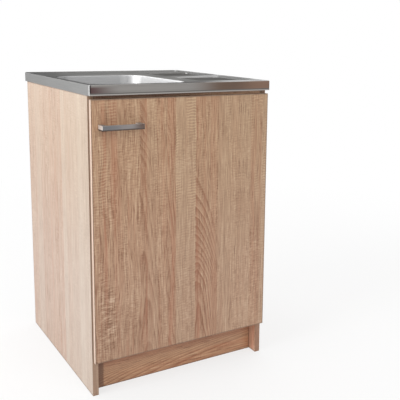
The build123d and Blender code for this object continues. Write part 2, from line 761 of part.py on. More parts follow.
def sink_top():
    centre_y = sink_back - SINK_DEPTH / 2
    outer = rounded_prism(0, centre_y, SINK_WIDTH, SINK_DEPTH, SINK_CORNER, UNIT_HEIGHT, SINK_APRON)
    top_edges = outer.faces().sort_by(Axis.Z)[-1].edges()
    outer = fillet(top_edges, PRESS_ROUND)
    under = rounded_prism(
        0, centre_y, SINK_WIDTH - 2 * SHEET, SINK_DEPTH - 2 * SHEET, SINK_CORNER - SHEET,
        UNIT_HEIGHT - SHEET, SINK_APRON - SHEET - SHEET,
    )
    under = fillet(under.faces().sort_by(Axis.Z)[-1].edges(), PRESS_ROUND - SHEET)
    opening = block(
        -panel_outer + HEM_BEARING, panel_outer - HEM_BEARING,
        carcass_front + HEM_BEARING, carcass_back - HEM_BEARING,
        carcass_top - 1, carcass_top + 2 * SHEET,
    )
    tray = outer - under - opening
    tray += pressed_hollow(SHEET)
    tray -= pressed_hollow(0)
    tray -= rod((bowl_x, bowl_y, drain_floor - 5), (bowl_x, bowl_y, bowl_floor), DRAIN_HOLE)
    slot = overflow_plane(-10) * Box(
        OVERFLOW_PLATE_WIDTH - 2 * OVERFLOW_HOLE_INSET,
        OVERFLOW_PLATE_HEIGHT - 2 * OVERFLOW_HOLE_INSET,
        20, align=LOW,
    )
    return tray - slot


def sink_clips():
    clips = []
    half = CLIP_WIDTH / 2
    for side, y in clip_places():
        wall = side * panel_inner
        inner = side * (panel_inner - CLIP_SHEET)
        hem = carcass_top + SHEET
        reach = side * (panel_inner - CLIP_SHEET + CLIP_REACH)
        clip = block(inner, wall, y - half, y + half, carcass_top - CLIP_DROP, hem + CLIP_SHEET)
        clip += block(inner, reach, y - half, y + half, hem, hem + CLIP_SHEET)
        for head, direction in clip_screw_heads():
            clip -= rod(moved(head, direction, -1), moved(head, direction, 3), WOOD_SCREW + FIT_GAP)
        clips.append(clip)
    return clips


# ---- strainer and drain body
def strainer_flange():
    under = flange_top - FLANGE_SHEET
    inner = STRAINER_RADIUS - FLANGE_SHEET
    cup = turned(
        [
            (0, strainer_floor), (STRAINER_RADIUS, strainer_floor), (STRAINER_RADIUS, under),
            (FLANGE_RADIUS, under), (FLANGE_RADIUS, under + FLANGE_SHEET * 0.5),
            (FLANGE_RADIUS - 4, flange_top), (inner + 1.5, flange_top), (inner, flange_top - 1.5),
            (inner, strainer_floor + FLANGE_SHEET), (0, strainer_floor + FLANGE_SHEET),
        ],
        bowl_x, bowl_y,
    )
    cup -= rod((bowl_x, bowl_y, strainer_floor - 1), (bowl_x, bowl_y, flange_top), DRAIN_SCREW + FIT_GAP)
    holes = PolarLocations(STRAINER_HOLE_CIRCLE, STRAINER_HOLES)
    drill = Cylinder(STRAINER_HOLE, 4 * FLANGE_SHEET)
    return cup - [Pos(bowl_x, bowl_y, strainer_floor) * place * drill for place in holes]


def strainer_screw():
    """Hidden under the plug: its low head seats on the strainer's floor."""
    seat = strainer_floor + FLANGE_SHEET
    x, y = bowl_x, bowl_y
    screw = rod((x, y, seat - DRAIN_SCREW_LENGTH), (x, y, seat), DRAIN_SCREW)
    return screw + rod((x, y, seat), (x, y, seat + PLUG_HEIGHT / 4), DRAIN_SCREW_HEAD)


def drain_seals():
    low = turned(
        [(DRAIN_HOLE + 1, body_top), (SEAL_RADIUS, body_top), (SEAL_RADIUS, drain_floor - SHEET),
         (DRAIN_HOLE + 1, drain_floor - SHEET)],
        bowl_x, bowl_y,
    )
    under_flange = flange_top - FLANGE_SHEET
    high = turned(
        [(DRAIN_HOLE + 1, drain_floor), (SEAL_RADIUS, drain_floor), (SEAL_RADIUS, under_flange),
         (DRAIN_HOLE + 1, under_flange)],
        bowl_x, bowl_y,
    )
    return [low, high]


def drain_body():
    inner = BODY_RADIUS - BODY_WALL
    neck = PIPE_RADIUS + NUT_WALL - 2
    neck_bore = PIPE_RADIUS - PIPE_WALL
    outside = turned(
        [
            (0, body_bottom), (neck, body_bottom), (neck, body_neck_top),
            (BODY_RADIUS, body_shoulder), (BODY_RADIUS, body_top - BODY_RIM),
            (SEAL_RADIUS, body_top - BODY_RIM), (SEAL_RADIUS, body_top), (0, body_top),
        ],
        bowl_x, bowl_y,
    )
    inside = turned(
        [
            (0, body_bottom - 1), (PIPE_RADIUS + FIT_GAP, body_bottom - 1),
            (PIPE_RADIUS + FIT_GAP, tail_top), (neck_bore, tail_top),
            (inner, body_shoulder + BODY_WALL), (inner, body_top + 1), (0, body_top + 1),
        ],
        bowl_x, bowl_y,
    )
    start = (bowl_x, bowl_y, socket_z)
    end = (bowl_x, bowl_y + SOCKET_REACH, socket_z)
    socket = rod(start, end, SOCKET_RADIUS)
    step = (bowl_x, bowl_y + SOCKET_REACH - 2 * PUSH_FIT, socket_z)
    bore = rod(start, end, OVERFLOW_PIPE_RADIUS - OVERFLOW_PIPE_WALL)
    bore += rod(step, moved(end, (0, 1, 0), 1), OVERFLOW_PIPE_RADIUS + FIT_GAP)
    body = outside + socket - inside - bore
    boss_top = body_top - 2.2 * SPIDER_THICKNESS
    boss_low = boss_top - 3 * SPIDER_THICKNESS
    half = SPIDER_THICKNESS / 2
    spider = rod((bowl_x, bowl_y, boss_low), (bowl_x, bowl_y, boss_top), SPIDER_BOSS)
    spider += block(bowl_x - inner - 1, bowl_x + inner + 1, bowl_y - half, bowl_y + half, boss_low, boss_top)
    screw_bore = rod((bowl_x, bowl_y, boss_low - 1), (bowl_x, bowl_y, boss_top + 1), DRAIN_SCREW + FIT_GAP)
    return body + spider - screw_bore


def ribbed_nut(centre, direction, bore, height=NUT_HEIGHT):
    """A hand-tightened union nut round a pipe, with grip ribs, from centre along direction."""
    plane = Plane(origin=centre, z_dir=Vector(*direction))
    outer = bore + NUT_WALL
    nut = Cylinder(outer, height, align=LOW)
    nut = fillet(nut.edges().filter_by(GeomType.CIRCLE), 1.2)
    rib = Pos(0, 0, height * 0.1) * Box(NUT_RIB_DEPTH, NUT_RIB_WIDTH, height * 0.8, align=LOW)
    for place in PolarLocations(outer, NUT_RIBS):
        nut += place * rib
    return plane * (nut - Pos(0, 0, -1) * Cylinder(bore + FIT_GAP, height + 2, align=LOW))


def overflow_nut():
    start = (bowl_x, bowl_y + SOCKET_REACH - NUT_HEIGHT * 0.6, socket_z)
    nut = ribbed_nut(start, (0, 1, 0), SOCKET_RADIUS)
    end = moved(start, (0, 1, 0), NUT_HEIGHT)
    lip_start = (bowl_x, bowl_y + SOCKET_REACH + 1, socket_z)
    lip = rod(lip_start, end, SOCKET_RADIUS + NUT_WALL / 2)
    lip -= rod(lip_start, moved(end, (0, 1, 0), 1), OVERFLOW_PIPE_RADIUS + FIT_GAP)
    return nut + lip


# ---- overflow
def overflow_axis(distance):
    """A point on the overflow pipe's axis, this far down from the plate's middle."""
    plane = overflow_plane(SHEET + OVERFLOW_SEAL + OVERFLOW_HOUSING_DEPTH / 2)
    down = -plane.y_dir if plane.y_dir.Z > 0 else plane.y_dir
    return plane.origin + down * distance


def overflow_housing():
    plane = overflow_plane(SHEET + OVERFLOW_SEAL)
    wall = OVERFLOW_HOUSING_WALL
    width, height = OVERFLOW_PLATE_WIDTH, OVERFLOW_PLATE_HEIGHT
    outside = extrude(plane * RectangleRounded(width, height, OVERFLOW_CORNER), amount=OVERFLOW_HOUSING_DEPTH)
    rear = outside.faces().sort_by(Axis.Y)[-1]
    outside = fillet(rear.edges(), 4)
    hollow = RectangleRounded(width - 2 * wall, height - 2 * wall, OVERFLOW_INNER_CORNER)
    inside = extrude(plane * hollow, amount=OVERFLOW_HOUSING_DEPTH - wall)
    top = overflow_axis(height / 2 - 2 * wall)
    low = overflow_axis(height / 2 + OVERFLOW_SLEEVE_LENGTH)
    bore = OVERFLOW_PIPE_RADIUS + FIT_GAP
    sleeve = rod(tuple(top), tuple(low), bore + OVERFLOW_HOUSING_WALL)
    housing = outside + sleeve - inside - rod(tuple(top), tuple(low + (low - top) * 0.1), bore)
    boss = plane * Cylinder(OVERFLOW_SCREW + 3, OVERFLOW_HOUSING_DEPTH - wall / 2, align=LOW)
    screw = plane * Cylinder(OVERFLOW_SCREW + FIT_GAP, OVERFLOW_HOUSING_DEPTH * 0.6, align=LOW)
    boss -= rod(tuple(overflow_axis(-bore)), tuple(low), bore + FIT_GAP)
    return max((housing + boss - screw).solids(), key=lambda solid: solid.volume)


def overflow_seal():
    plane = overflow_plane(SHEET)
    width, height = OVERFLOW_PLATE_WIDTH, OVERFLOW_PLATE_HEIGHT
    ring = RectangleRounded(width, height, OVERFLOW_CORNER)
    ring -= RectangleRounded(width - 2 * OVERFLOW_FRAME, height - 2 * OVERFLOW_FRAME, OVERFLOW_INNER_CORNER)
    return extrude(plane * ring, amount=OVERFLOW_SEAL)


def overflow_plate():
    plane = overflow_plane(0)
    width, height = OVERFLOW_PLATE_WIDTH, OVERFLOW_PLATE_HEIGHT
    plate = extrude(plane * RectangleRounded(width, height, OVERFLOW_CORNER), amount=-OVERFLOW_PLATE_SHEET)
    slot = SlotOverall(OVERFLOW_SLOT_LENGTH, OVERFLOW_SLOT_HEIGHT)
    across, up = OVERFLOW_SLOT_SPACING
    for row in (-1, 1):
        for column in (-1, 0, 1):
            if row or column:
                place = Pos(column * across, row * up)
                plate -= extrude(plane * place * slot, amount=10, both=True)
    return plate - plane * Cylinder(OVERFLOW_SCREW + FIT_GAP, 10)


def overflow_frame():
    """The black trim that edges the overflow plate, inside the bowl."""
    plane = overflow_plane(-OVERFLOW_PLATE_SHEET)
    width, height = OVERFLOW_PLATE_WIDTH, OVERFLOW_PLATE_HEIGHT
    ring = RectangleRounded(width, height, OVERFLOW_CORNER)
    ring -= RectangleRounded(width - 2 * OVERFLOW_FRAME, height - 2 * OVERFLOW_FRAME, OVERFLOW_INNER_CORNER)
    return extrude(plane * ring, amount=-OVERFLOW_PLATE_SHEET)


def overflow_screw():
    plane = overflow_plane(-OVERFLOW_PLATE_SHEET)
    length = OVERFLOW_PLATE_SHEET + SHEET + OVERFLOW_SEAL + OVERFLOW_HOUSING_DEPTH * 0.5
    screw = plane * Cylinder(OVERFLOW_SCREW, length, align=LOW)
    head = plane * Pos(0, 0, -2) * Cylinder(OVERFLOW_SCREW * 1.9, 2, align=LOW)
    return screw + head - plane * Pos(0, 0, -2) * Box(7, 1, 1.6)


def overflow_bend():
    """The pipe pushed up into the sleeve and, at its other end, into the drain body's socket."""
    top = overflow_axis(OVERFLOW_PLATE_HEIGHT / 2 + OVERFLOW_SLEEVE_LENGTH * 0.3)
    down = (overflow_axis(100) - overflow_axis(0)).normalized()
    corner = top + down * ((top.Z - socket_z) / -down.Z)
    end = (bowl_x, bowl_y + SOCKET_REACH - 2 * PUSH_FIT + 1, socket_z)
    points = [tuple(top), tuple(corner), end]
    return pipe(points, OVERFLOW_PIPE_RADIUS, OVERFLOW_PIPE_WALL, OVERFLOW_BEND)


# ---- trap
def spigot_line():
    """Where the appliance spigot leaves the tailpipe, and its direction, up and to the front."""
    start = (bowl_x, bowl_y, body_bottom - SPIGOT_FROM_TOP)
    tilt = radians(SPIGOT_TILT)
    return start, (0, -cos(tilt), sin(tilt))


def tailpipe():
    low = (bowl_x, bowl_y, tail_bottom)
    top = (bowl_x, bowl_y, tail_top - 1)
    bore_low = moved(low, (0, 0, -1), 1)
    start, direction = spigot_line()
    end = moved(start, direction, PIPE_RADIUS + SPIGOT_LENGTH)
    tail = rod(low, top, PIPE_RADIUS) + rod(start, end, SPIGOT_RADIUS)
    for step in (0.45, 0.65, 0.85):
        at = moved(start, direction, PIPE_RADIUS + SPIGOT_LENGTH * step * 0.7)
        tail += rod(at, moved(at, direction, 2.5), SPIGOT_RADIUS + 0.9)
    tail -= rod(bore_low, moved(top, (0, 0, 1), 1), PIPE_RADIUS - PIPE_WALL)
    tail -= rod(start, moved(end, direction, 1), SPIGOT_BORE)
    strap_z = start[2] - 3 * TETHER_RING
    strap_y = bowl_y - PIPE_RADIUS - 2 * TETHER_RING
    strap = block(
        bowl_x - TETHER_WIRE, bowl_x + TETHER_WIRE, strap_y + TETHER_RING,
        bowl_y - PIPE_RADIUS + 1, strap_z - TETHER_WIRE, strap_z + TETHER_WIRE,
    )
    ring = Pos(bowl_x, strap_y, strap_z) * Rot(0, 90, 0) * Torus(TETHER_RING, TETHER_WIRE)
    return tail + strap + ring


def spigot_cap():
    start, direction = spigot_line()
    end = moved(start, direction, PIPE_RADIUS + SPIGOT_LENGTH)
    outer = moved(end, direction, CAP_WALL)
    inner = moved(end, direction, -CAP_DEPTH * 0.5)
    cap = rod(inner, outer, SPIGOT_RADIUS + CAP_WALL)
    cap = fillet(cap.edges().filter_by(GeomType.CIRCLE), 0.8)
    return cap - rod(moved(inner, direction, -1), end, SPIGOT_RADIUS + FIT_GAP)


def trap_nuts():
    down = (0, 0, -1)
    top = ribbed_nut((bowl_x, bowl_y, body_neck_top - 1), down, PIPE_RADIUS + NUT_WALL - 2)
    lip_top = body_bottom - 0.5
    lip_low = body_neck_top - 1 - NUT_HEIGHT
    lip = rod((bowl_x, bowl_y, lip_low), (bowl_x, bowl_y, lip_top), PIPE_RADIUS + NUT_WALL)
    lip -= rod((bowl_x, bowl_y, lip_low - 1), (bowl_x, bowl_y, lip_top + 1), PIPE_RADIUS + FIT_GAP)
    collar = PIPE_RADIUS + PIPE_WALL + FIT_GAP
    inlet = ribbed_nut((bowl_x, bowl_y, trap_top - NUT_HEIGHT * 0.7), (0, 0, 1), collar)
    inlet += ring_lip(bowl_y, trap_top + 0.3, trap_top + NUT_HEIGHT * 0.3, collar)
    outlet = ribbed_nut((bowl_x, rise_y, trap_outlet_top - NUT_HEIGHT * 0.7), (0, 0, 1), collar)
    outlet += ring_lip(rise_y, trap_outlet_top + 0.3, trap_outlet_top + NUT_HEIGHT * 0.3, collar)
    return [top + lip, inlet, outlet]


def ring_lip(y, z0, z1, outer):
    lip = rod((bowl_x, y, z0), (bowl_x, y, z1), outer + 1)
    return lip - rod((bowl_x, y, z0 - 1), (bowl_x, y, z1 + 1), PIPE_RADIUS + FIT_GAP)


def trap_bend():
    """The U-bend; its two mouths widen into sleeves that the pipes push down into."""
    sleeve = PIPE_RADIUS + PIPE_WALL
    low = trap_centre_z
    bend_low = low - TRAP_RADIUS
    points = [
        (bowl_x, bowl_y, low + 2), (bowl_x, bowl_y, bend_low),
        (bowl_x, rise_y, bend_low), (bowl_x, rise_y, low + 2),
    ]
    nearly_half_turn = TRAP_RADIUS * 0.999
    bend = pipe(points, PIPE_RADIUS, PIPE_WALL, nearly_half_turn)
    for y, top in ((bowl_y, trap_top), (rise_y, trap_outlet_top)):
        seat = top - PUSH_FIT
        mouth = rod((bowl_x, y, min(low + 2, seat)), (bowl_x, y, top), sleeve)
        mouth -= rod((bowl_x, y, low - 5), (bowl_x, y, top + 1), PIPE_RADIUS - PIPE_WALL)
        mouth -= rod((bowl_x, y, seat - 0.5), (bowl_x, y, top + 1), PIPE_RADIUS + FIT_GAP)
        bend += mouth
    return bend


def outlet_pipe():
    points = [
        (bowl_x, rise_y, trap_outlet_top - PUSH_FIT),
        (bowl_x, rise_y, elbow_z),
        (bowl_x, outlet_end, elbow_z),
    ]
    return pipe(points, PIPE_RADIUS, PIPE_WALL, ELBOW_RADIUS)


# ---- plug
def rubber_plug():
    low = plug_bottom
    shoulder = low + PLUG_HEIGHT
    dome = shoulder + PLUG_DOME
    top = dome + PLUG_STEM_HEIGHT
    foot = PLUG_RADIUS - PLUG_TAPER
    dimple = PLUG_HEIGHT / 4 + 2 * PLUG_CLEARANCE
    outline = Polyline(
        (DRAIN_SCREW_HEAD + 1, low + dimple), (DRAIN_SCREW_HEAD + 1, low), (foot, low),
        (PLUG_RADIUS, shoulder),
    )
    crown = Spline(
        (PLUG_RADIUS, shoulder), (PLUG_STEM_RADIUS * 2.6, shoulder + PLUG_DOME * 0.55),
        (PLUG_STEM_RADIUS, dome), tangents=((-1, 0.05), (0, 1)),
    )
    cap = Polyline((PLUG_STEM_RADIUS, dome), (PLUG_STEM_RADIUS, top), (0, top), (0, low + dimple),
                   (DRAIN_SCREW_HEAD + 1, low + dimple))
    profile = make_face([outline, crown, cap])
    plug = Pos(bowl_x, bowl_y, 0) * revolve(Plane.XZ * profile, Axis.Z)
    flat = PLUG_STEM_FLAT / 2
    for side in (-1, 1):
        plug -= block(
            bowl_x + side * flat, bowl_x + side * 2 * PLUG_STEM_RADIUS,
            bowl_y - PLUG_STEM_RADIUS - 1, bowl_y + PLUG_STEM_RADIUS + 1, dome + 2, top + 1,
        )
    eye_start = (bowl_x - PLUG_STEM_RADIUS - 1, bowl_y, plug_eye_z)
    return plug - rod(eye_start, (bowl_x + PLUG_STEM_RADIUS + 1, bowl_y, plug_eye_z), PLUG_EYE)


def plug_ring():
    centre = Pos(bowl_x, bowl_y, plug_eye_z + RING_RADIUS)
    return centre * Rot(90, 0, 0) * Torus(RING_RADIUS, RING_WIRE)


# ---- the pieces, one node each; a list is a group of like fasteners or fittings
all_joints = [joint for joints in cam_joints().values() for joint in joints]
pieces = {
    "side_panel_left": side_panel(-1),
    "side_panel_right": side_panel(1),
    "bottom_panel": bottom_panel(),
    "front_rail": front_rail(),
    "rear_top_rail": rear_rail("rear_top_rail", rail_bottom),
    "rear_lower_rail": rear_rail("rear_lower_rail", bottom_top),
    "plinth_board": plinth_board(),
    "plinth_brackets": plinth_brackets(),
    "plinth_bracket_screws": [wood_screw(*head) for head in bracket_screw_heads()],
    "cam_discs": [cam_disc(joint) for joint in all_joints],
    "cam_bolts": [cam_bolt(joint) for joint in all_joints],
    "board_dowels": dowels(),
    "door_panel": door_panel(),
    "door_handle": door_handle(),
    "handle_screws": handle_screws(),
    "door_bumpers": door_bumpers(),
    "hinge_cups": [hinge_cup(z) for z in hinge_heights],
    "hinge_cup_screws": [wood_screw(*head) for head in cup_screw_heads()],
    "hinge_outer_links": [outer_link(z) for z in hinge_heights],
    "hinge_inner_links": [inner_link(z) for z in hinge_heights],
    "hinge_pins": [hinge_pin(link, z) for z in hinge_heights for link in (OUTER_LINK, INNER_LINK)],
    "hinge_arms": [hinge_arm(z) for z in hinge_heights],
    "hinge_plates": [hinge_plate(z) for z in hinge_heights],
    "hinge_plate_screws": [wood_screw(*head) for head in hinge_plate_screw_heads()],
    "hinge_arm_screws": [hinge_arm_screw(z) for z in hinge_heights],
    "sink_top": sink_top(),
    "sink_clips": sink_clips(),
    "sink_clip_screws": [wood_screw(*head) for head in clip_screw_heads()],
    "strainer_flange": strainer_flange(),
    "strainer_screw": strainer_screw(),
    "drain_seals": drain_seals(),
    "drain_body": drain_body(),
    "overflow_nut": overflow_nut(),
    "overflow_bend": overflow_bend(),
    "overflow_housing": overflow_housing(),
    "overflow_seal": overflow_seal(),
    "overflow_plate": overflow_plate(),
    "overflow_frame": overflow_frame(),
    "overflow_screw": overflow_screw(),
    "tailpipe": tailpipe(),
    "spigot_cap": spigot_cap(),
    "trap_nuts": trap_nuts(),
    "trap_bend": trap_bend(),
    "outlet_pipe": outlet_pipe(),
    "rubber_plug": rubber_plug(),
    "plug_ring": plug_ring(),
}

os.makedirs("parts", exist_ok=True)
for name, piece in pieces.items():
    shape = Compound(children=piece) if isinstance(piece, list) else piece
    export_step(shape, f"parts/{name}.step")
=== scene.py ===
import math

import bpy
from mathutils import Matrix, Vector


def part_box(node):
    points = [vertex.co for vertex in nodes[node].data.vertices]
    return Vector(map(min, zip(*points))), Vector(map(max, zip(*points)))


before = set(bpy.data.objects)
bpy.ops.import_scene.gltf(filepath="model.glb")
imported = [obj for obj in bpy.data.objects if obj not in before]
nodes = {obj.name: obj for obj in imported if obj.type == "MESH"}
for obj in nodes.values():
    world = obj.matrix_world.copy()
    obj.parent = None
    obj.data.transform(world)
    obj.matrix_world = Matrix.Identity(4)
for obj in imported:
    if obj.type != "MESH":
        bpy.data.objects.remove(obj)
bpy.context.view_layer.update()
print("frame loaded:", len(nodes), "nodes")

# photograph's frame in pixels, and where its optical axis meets it
photo = {
    "width": 400.0,
    "height": 400.0,
    "focal": 677.8,
    "axisX": 238.5,
    "axisY": 150.0,
}

camera = {
    "place": (-0.8584, -1.9186, 0.9772),
    "yaw": -0.562,
    "pitch": -0.167,
    "roll": -0.017,
    "sensor": 36.0,
    "near": 0.05,
    "far": 60.0,
}


def addCamera(values, picture):
    lens = bpy.data.cameras.new("photoCamera")
    lens.sensor_width = values["sensor"]
    lens.sensor_fit = "HORIZONTAL"
    lens.lens = picture["focal"] / picture["width"] * values["sensor"]
    lens.shift_x = (picture["width"] / 2 - picture["axisX"]) / picture["width"]
    lens.shift_y = (picture["axisY"] - picture["height"] / 2) / picture["width"]
    lens.clip_start = values["near"]
    lens.clip_end = values["far"]
    turn = Matrix.Rotation(values["yaw"], 4, "Z")
    turn = turn @ Matrix.Rotation(values["pitch"], 4, "X")
    turn = turn @ Matrix.Rotation(values["roll"], 4, "Y")
    turn = turn @ Matrix.Rotation(math.radians(90), 4, "X")
    eye = bpy.data.objects.new("photoCamera", lens)
    eye.matrix_world = Matrix.Translation(values["place"]) @ turn
    bpy.context.scene.collection.objects.link(eye)
    bpy.context.scene.camera = eye


addCamera(camera, photo)
print("camera placed")


# node wiring used by every group and material below
def addNode(tree, kind, **values):
    node = tree.nodes.new(kind)
    for name, value in values.items():
        setattr(node, name, value)
    return node


def plug(tree, value, socket):
    if isinstance(value, bpy.types.NodeSocket):
        tree.links.new(value, socket)
    elif value is not None:
        socket.default_value = value


def calc(tree, operation, first, second=None, third=None, clamp=False):
    node = addNode(tree, "ShaderNodeMath", operation=operation, use_clamp=clamp)
    plug(tree, first, node.inputs[0])
    plug(tree, second, node.inputs[1])
    plug(tree, third, node.inputs[2])
    return node.outputs[0]


def product(tree, first, *others):
    for other in others:
        first = calc(tree, "MULTIPLY", first, other)
    return first


def vectorCalc(tree, operation, first, second):
    node = addNode(tree, "ShaderNodeVectorMath", operation=operation)
    plug(tree, first, node.inputs[0])
    plug(tree, second, node.inputs[1])
    return node.outputs[0]


def resized(tree, vector, factor):
    node = addNode(tree, "ShaderNodeVectorMath", operation="SCALE")
    plug(tree, vector, node.inputs[0])
    plug(tree, factor, node.inputs["Scale"])
    return node.outputs[0]


def split(tree, vector):
    node = addNode(tree, "ShaderNodeSeparateXYZ")
    plug(tree, vector, node.inputs[0])
    return node.outputs


def gather(tree, x, y, z):
    node = addNode(tree, "ShaderNodeCombineXYZ")
    plug(tree, x, node.inputs[0])
    plug(tree, y, node.inputs[1])
    plug(tree, z, node.inputs[2])
    return node.outputs[0]


def grainNoise(tree, vector, scale=1.0, detail=2.0, roughness=0.5, distortion=0.0):
    node = addNode(tree, "ShaderNodeTexNoise")
    plug(tree, vector, node.inputs["Vector"])
    node.inputs["Scale"].default_value = scale
    node.inputs["Detail"].default_value = detail
    node.inputs["Roughness"].default_value = roughness
    node.inputs["Distortion"].default_value = distortion
    return node.outputs["Fac"]


# noise with so many cells per metre along each axis
def cellNoise(tree, vector, cells, detail=2.0, roughness=0.5, distortion=0.0):
    stretched = vectorCalc(tree, "MULTIPLY", vector, cells)
    return grainNoise(tree, stretched, 1.0, detail, roughness, distortion)


# how far a noise is from its middle
def swing(tree, noise):
    return calc(tree, "SUBTRACT", noise, 0.5)


def between(tree, value, low, high, outLow=0.0, outHigh=1.0):
    node = addNode(tree, "ShaderNodeMapRange", interpolation_type="SMOOTHSTEP")
    plug(tree, value, node.inputs["Value"])
    plug(tree, low, node.inputs["From Min"])
    plug(tree, high, node.inputs["From Max"])
    plug(tree, outLow, node.inputs["To Min"])
    plug(tree, outHigh, node.inputs["To Max"])
    return node.outputs["Result"]


# rises from start to full and falls from fade to gone
def window(tree, value, start, full, gone, fade):
    return product(tree, between(tree, value, start, full), between(tree, value, gone, fade))


def opaque(colour):
    return (*colour, 1.0) if isinstance(colour, tuple) and len(colour) == 3 else colour


def tint(tree, factor, first, second, blend="MIX"):
    node = addNode(tree, "ShaderNodeMix", data_type="RGBA", blend_type=blend)
    plug(tree, factor, node.inputs["Factor"])
    plug(tree, opaque(first), node.inputs["A"])
    plug(tree, opaque(second), node.inputs["B"])
    return node.outputs["Result"]


def colourScale(tree, value, stops, steps="LINEAR"):
    node = addNode(tree, "ShaderNodeValToRGB")
    node.color_ramp.interpolation = steps
    elements = node.color_ramp.elements
    while len(elements) < len(stops):
        elements.new(1.0)
    for element, (position, colour) in zip(elements, stops):
        element.position = position
        element.color = opaque(colour)
    plug(tree, value, node.inputs[0])
    return node.outputs["Color"]


def bump(tree, height, distance):
    node = addNode(tree, "ShaderNodeBump")
    node.inputs["Distance"].default_value = distance
    plug(tree, height, node.inputs["Height"])
    return node.outputs["Normal"]


def newGroup(name, vectors, colours, numbers, outputs):
    tree = bpy.data.node_groups.new(name, "ShaderNodeTree")
    kinds = dict.fromkeys(vectors, "NodeSocketVector")
    kinds.update(dict.fromkeys(colours, "NodeSocketColor"))
    kinds.update(dict.fromkeys(numbers, "NodeSocketFloat"))
    for label, kind in kinds.items():
        socket = tree.interface.new_socket(name=label, in_out="INPUT", socket_type=kind)
        if label in numbers:
            socket.default_value = numbers[label]
    for label in outputs:
        kind = "NodeSocketColor" if label == "Color" else "NodeSocketFloat"
        tree.interface.new_socket(name=label, in_out="OUTPUT", socket_type=kind)
    entry = tree.nodes.new("NodeGroupInput")
    leave = tree.nodes.new("NodeGroupOutput")
    return tree, entry.outputs, leave.inputs


def useGroup(tree, group, **values):
    node = addNode(tree, "ShaderNodeGroup", node_tree=group)
    for label, value in values.items():
        plug(tree, value, node.inputs[label])
    return node.outputs


def newMaterial(name, **values):
    material = bpy.data.materials.new(name)
    material.use_nodes = True
    tree = material.node_tree
    shader = tree.nodes["Principled BSDF"]
    for label, value in values.items():
        shader.inputs[label.replace("_", " ")].default_value = value
    spot = addNode(tree, "ShaderNodeTexCoord")
    return material, tree, shader.inputs, spot.outputs["Object"], spot.outputs["Normal"]


def wireShader(tree, shader, colour, roughness, height, relief):
    plug(tree, colour, shader["Base Color"])
    plug(tree, roughness, shader["Roughness"])
    plug(tree, bump(tree, height, relief), shader["Normal"])


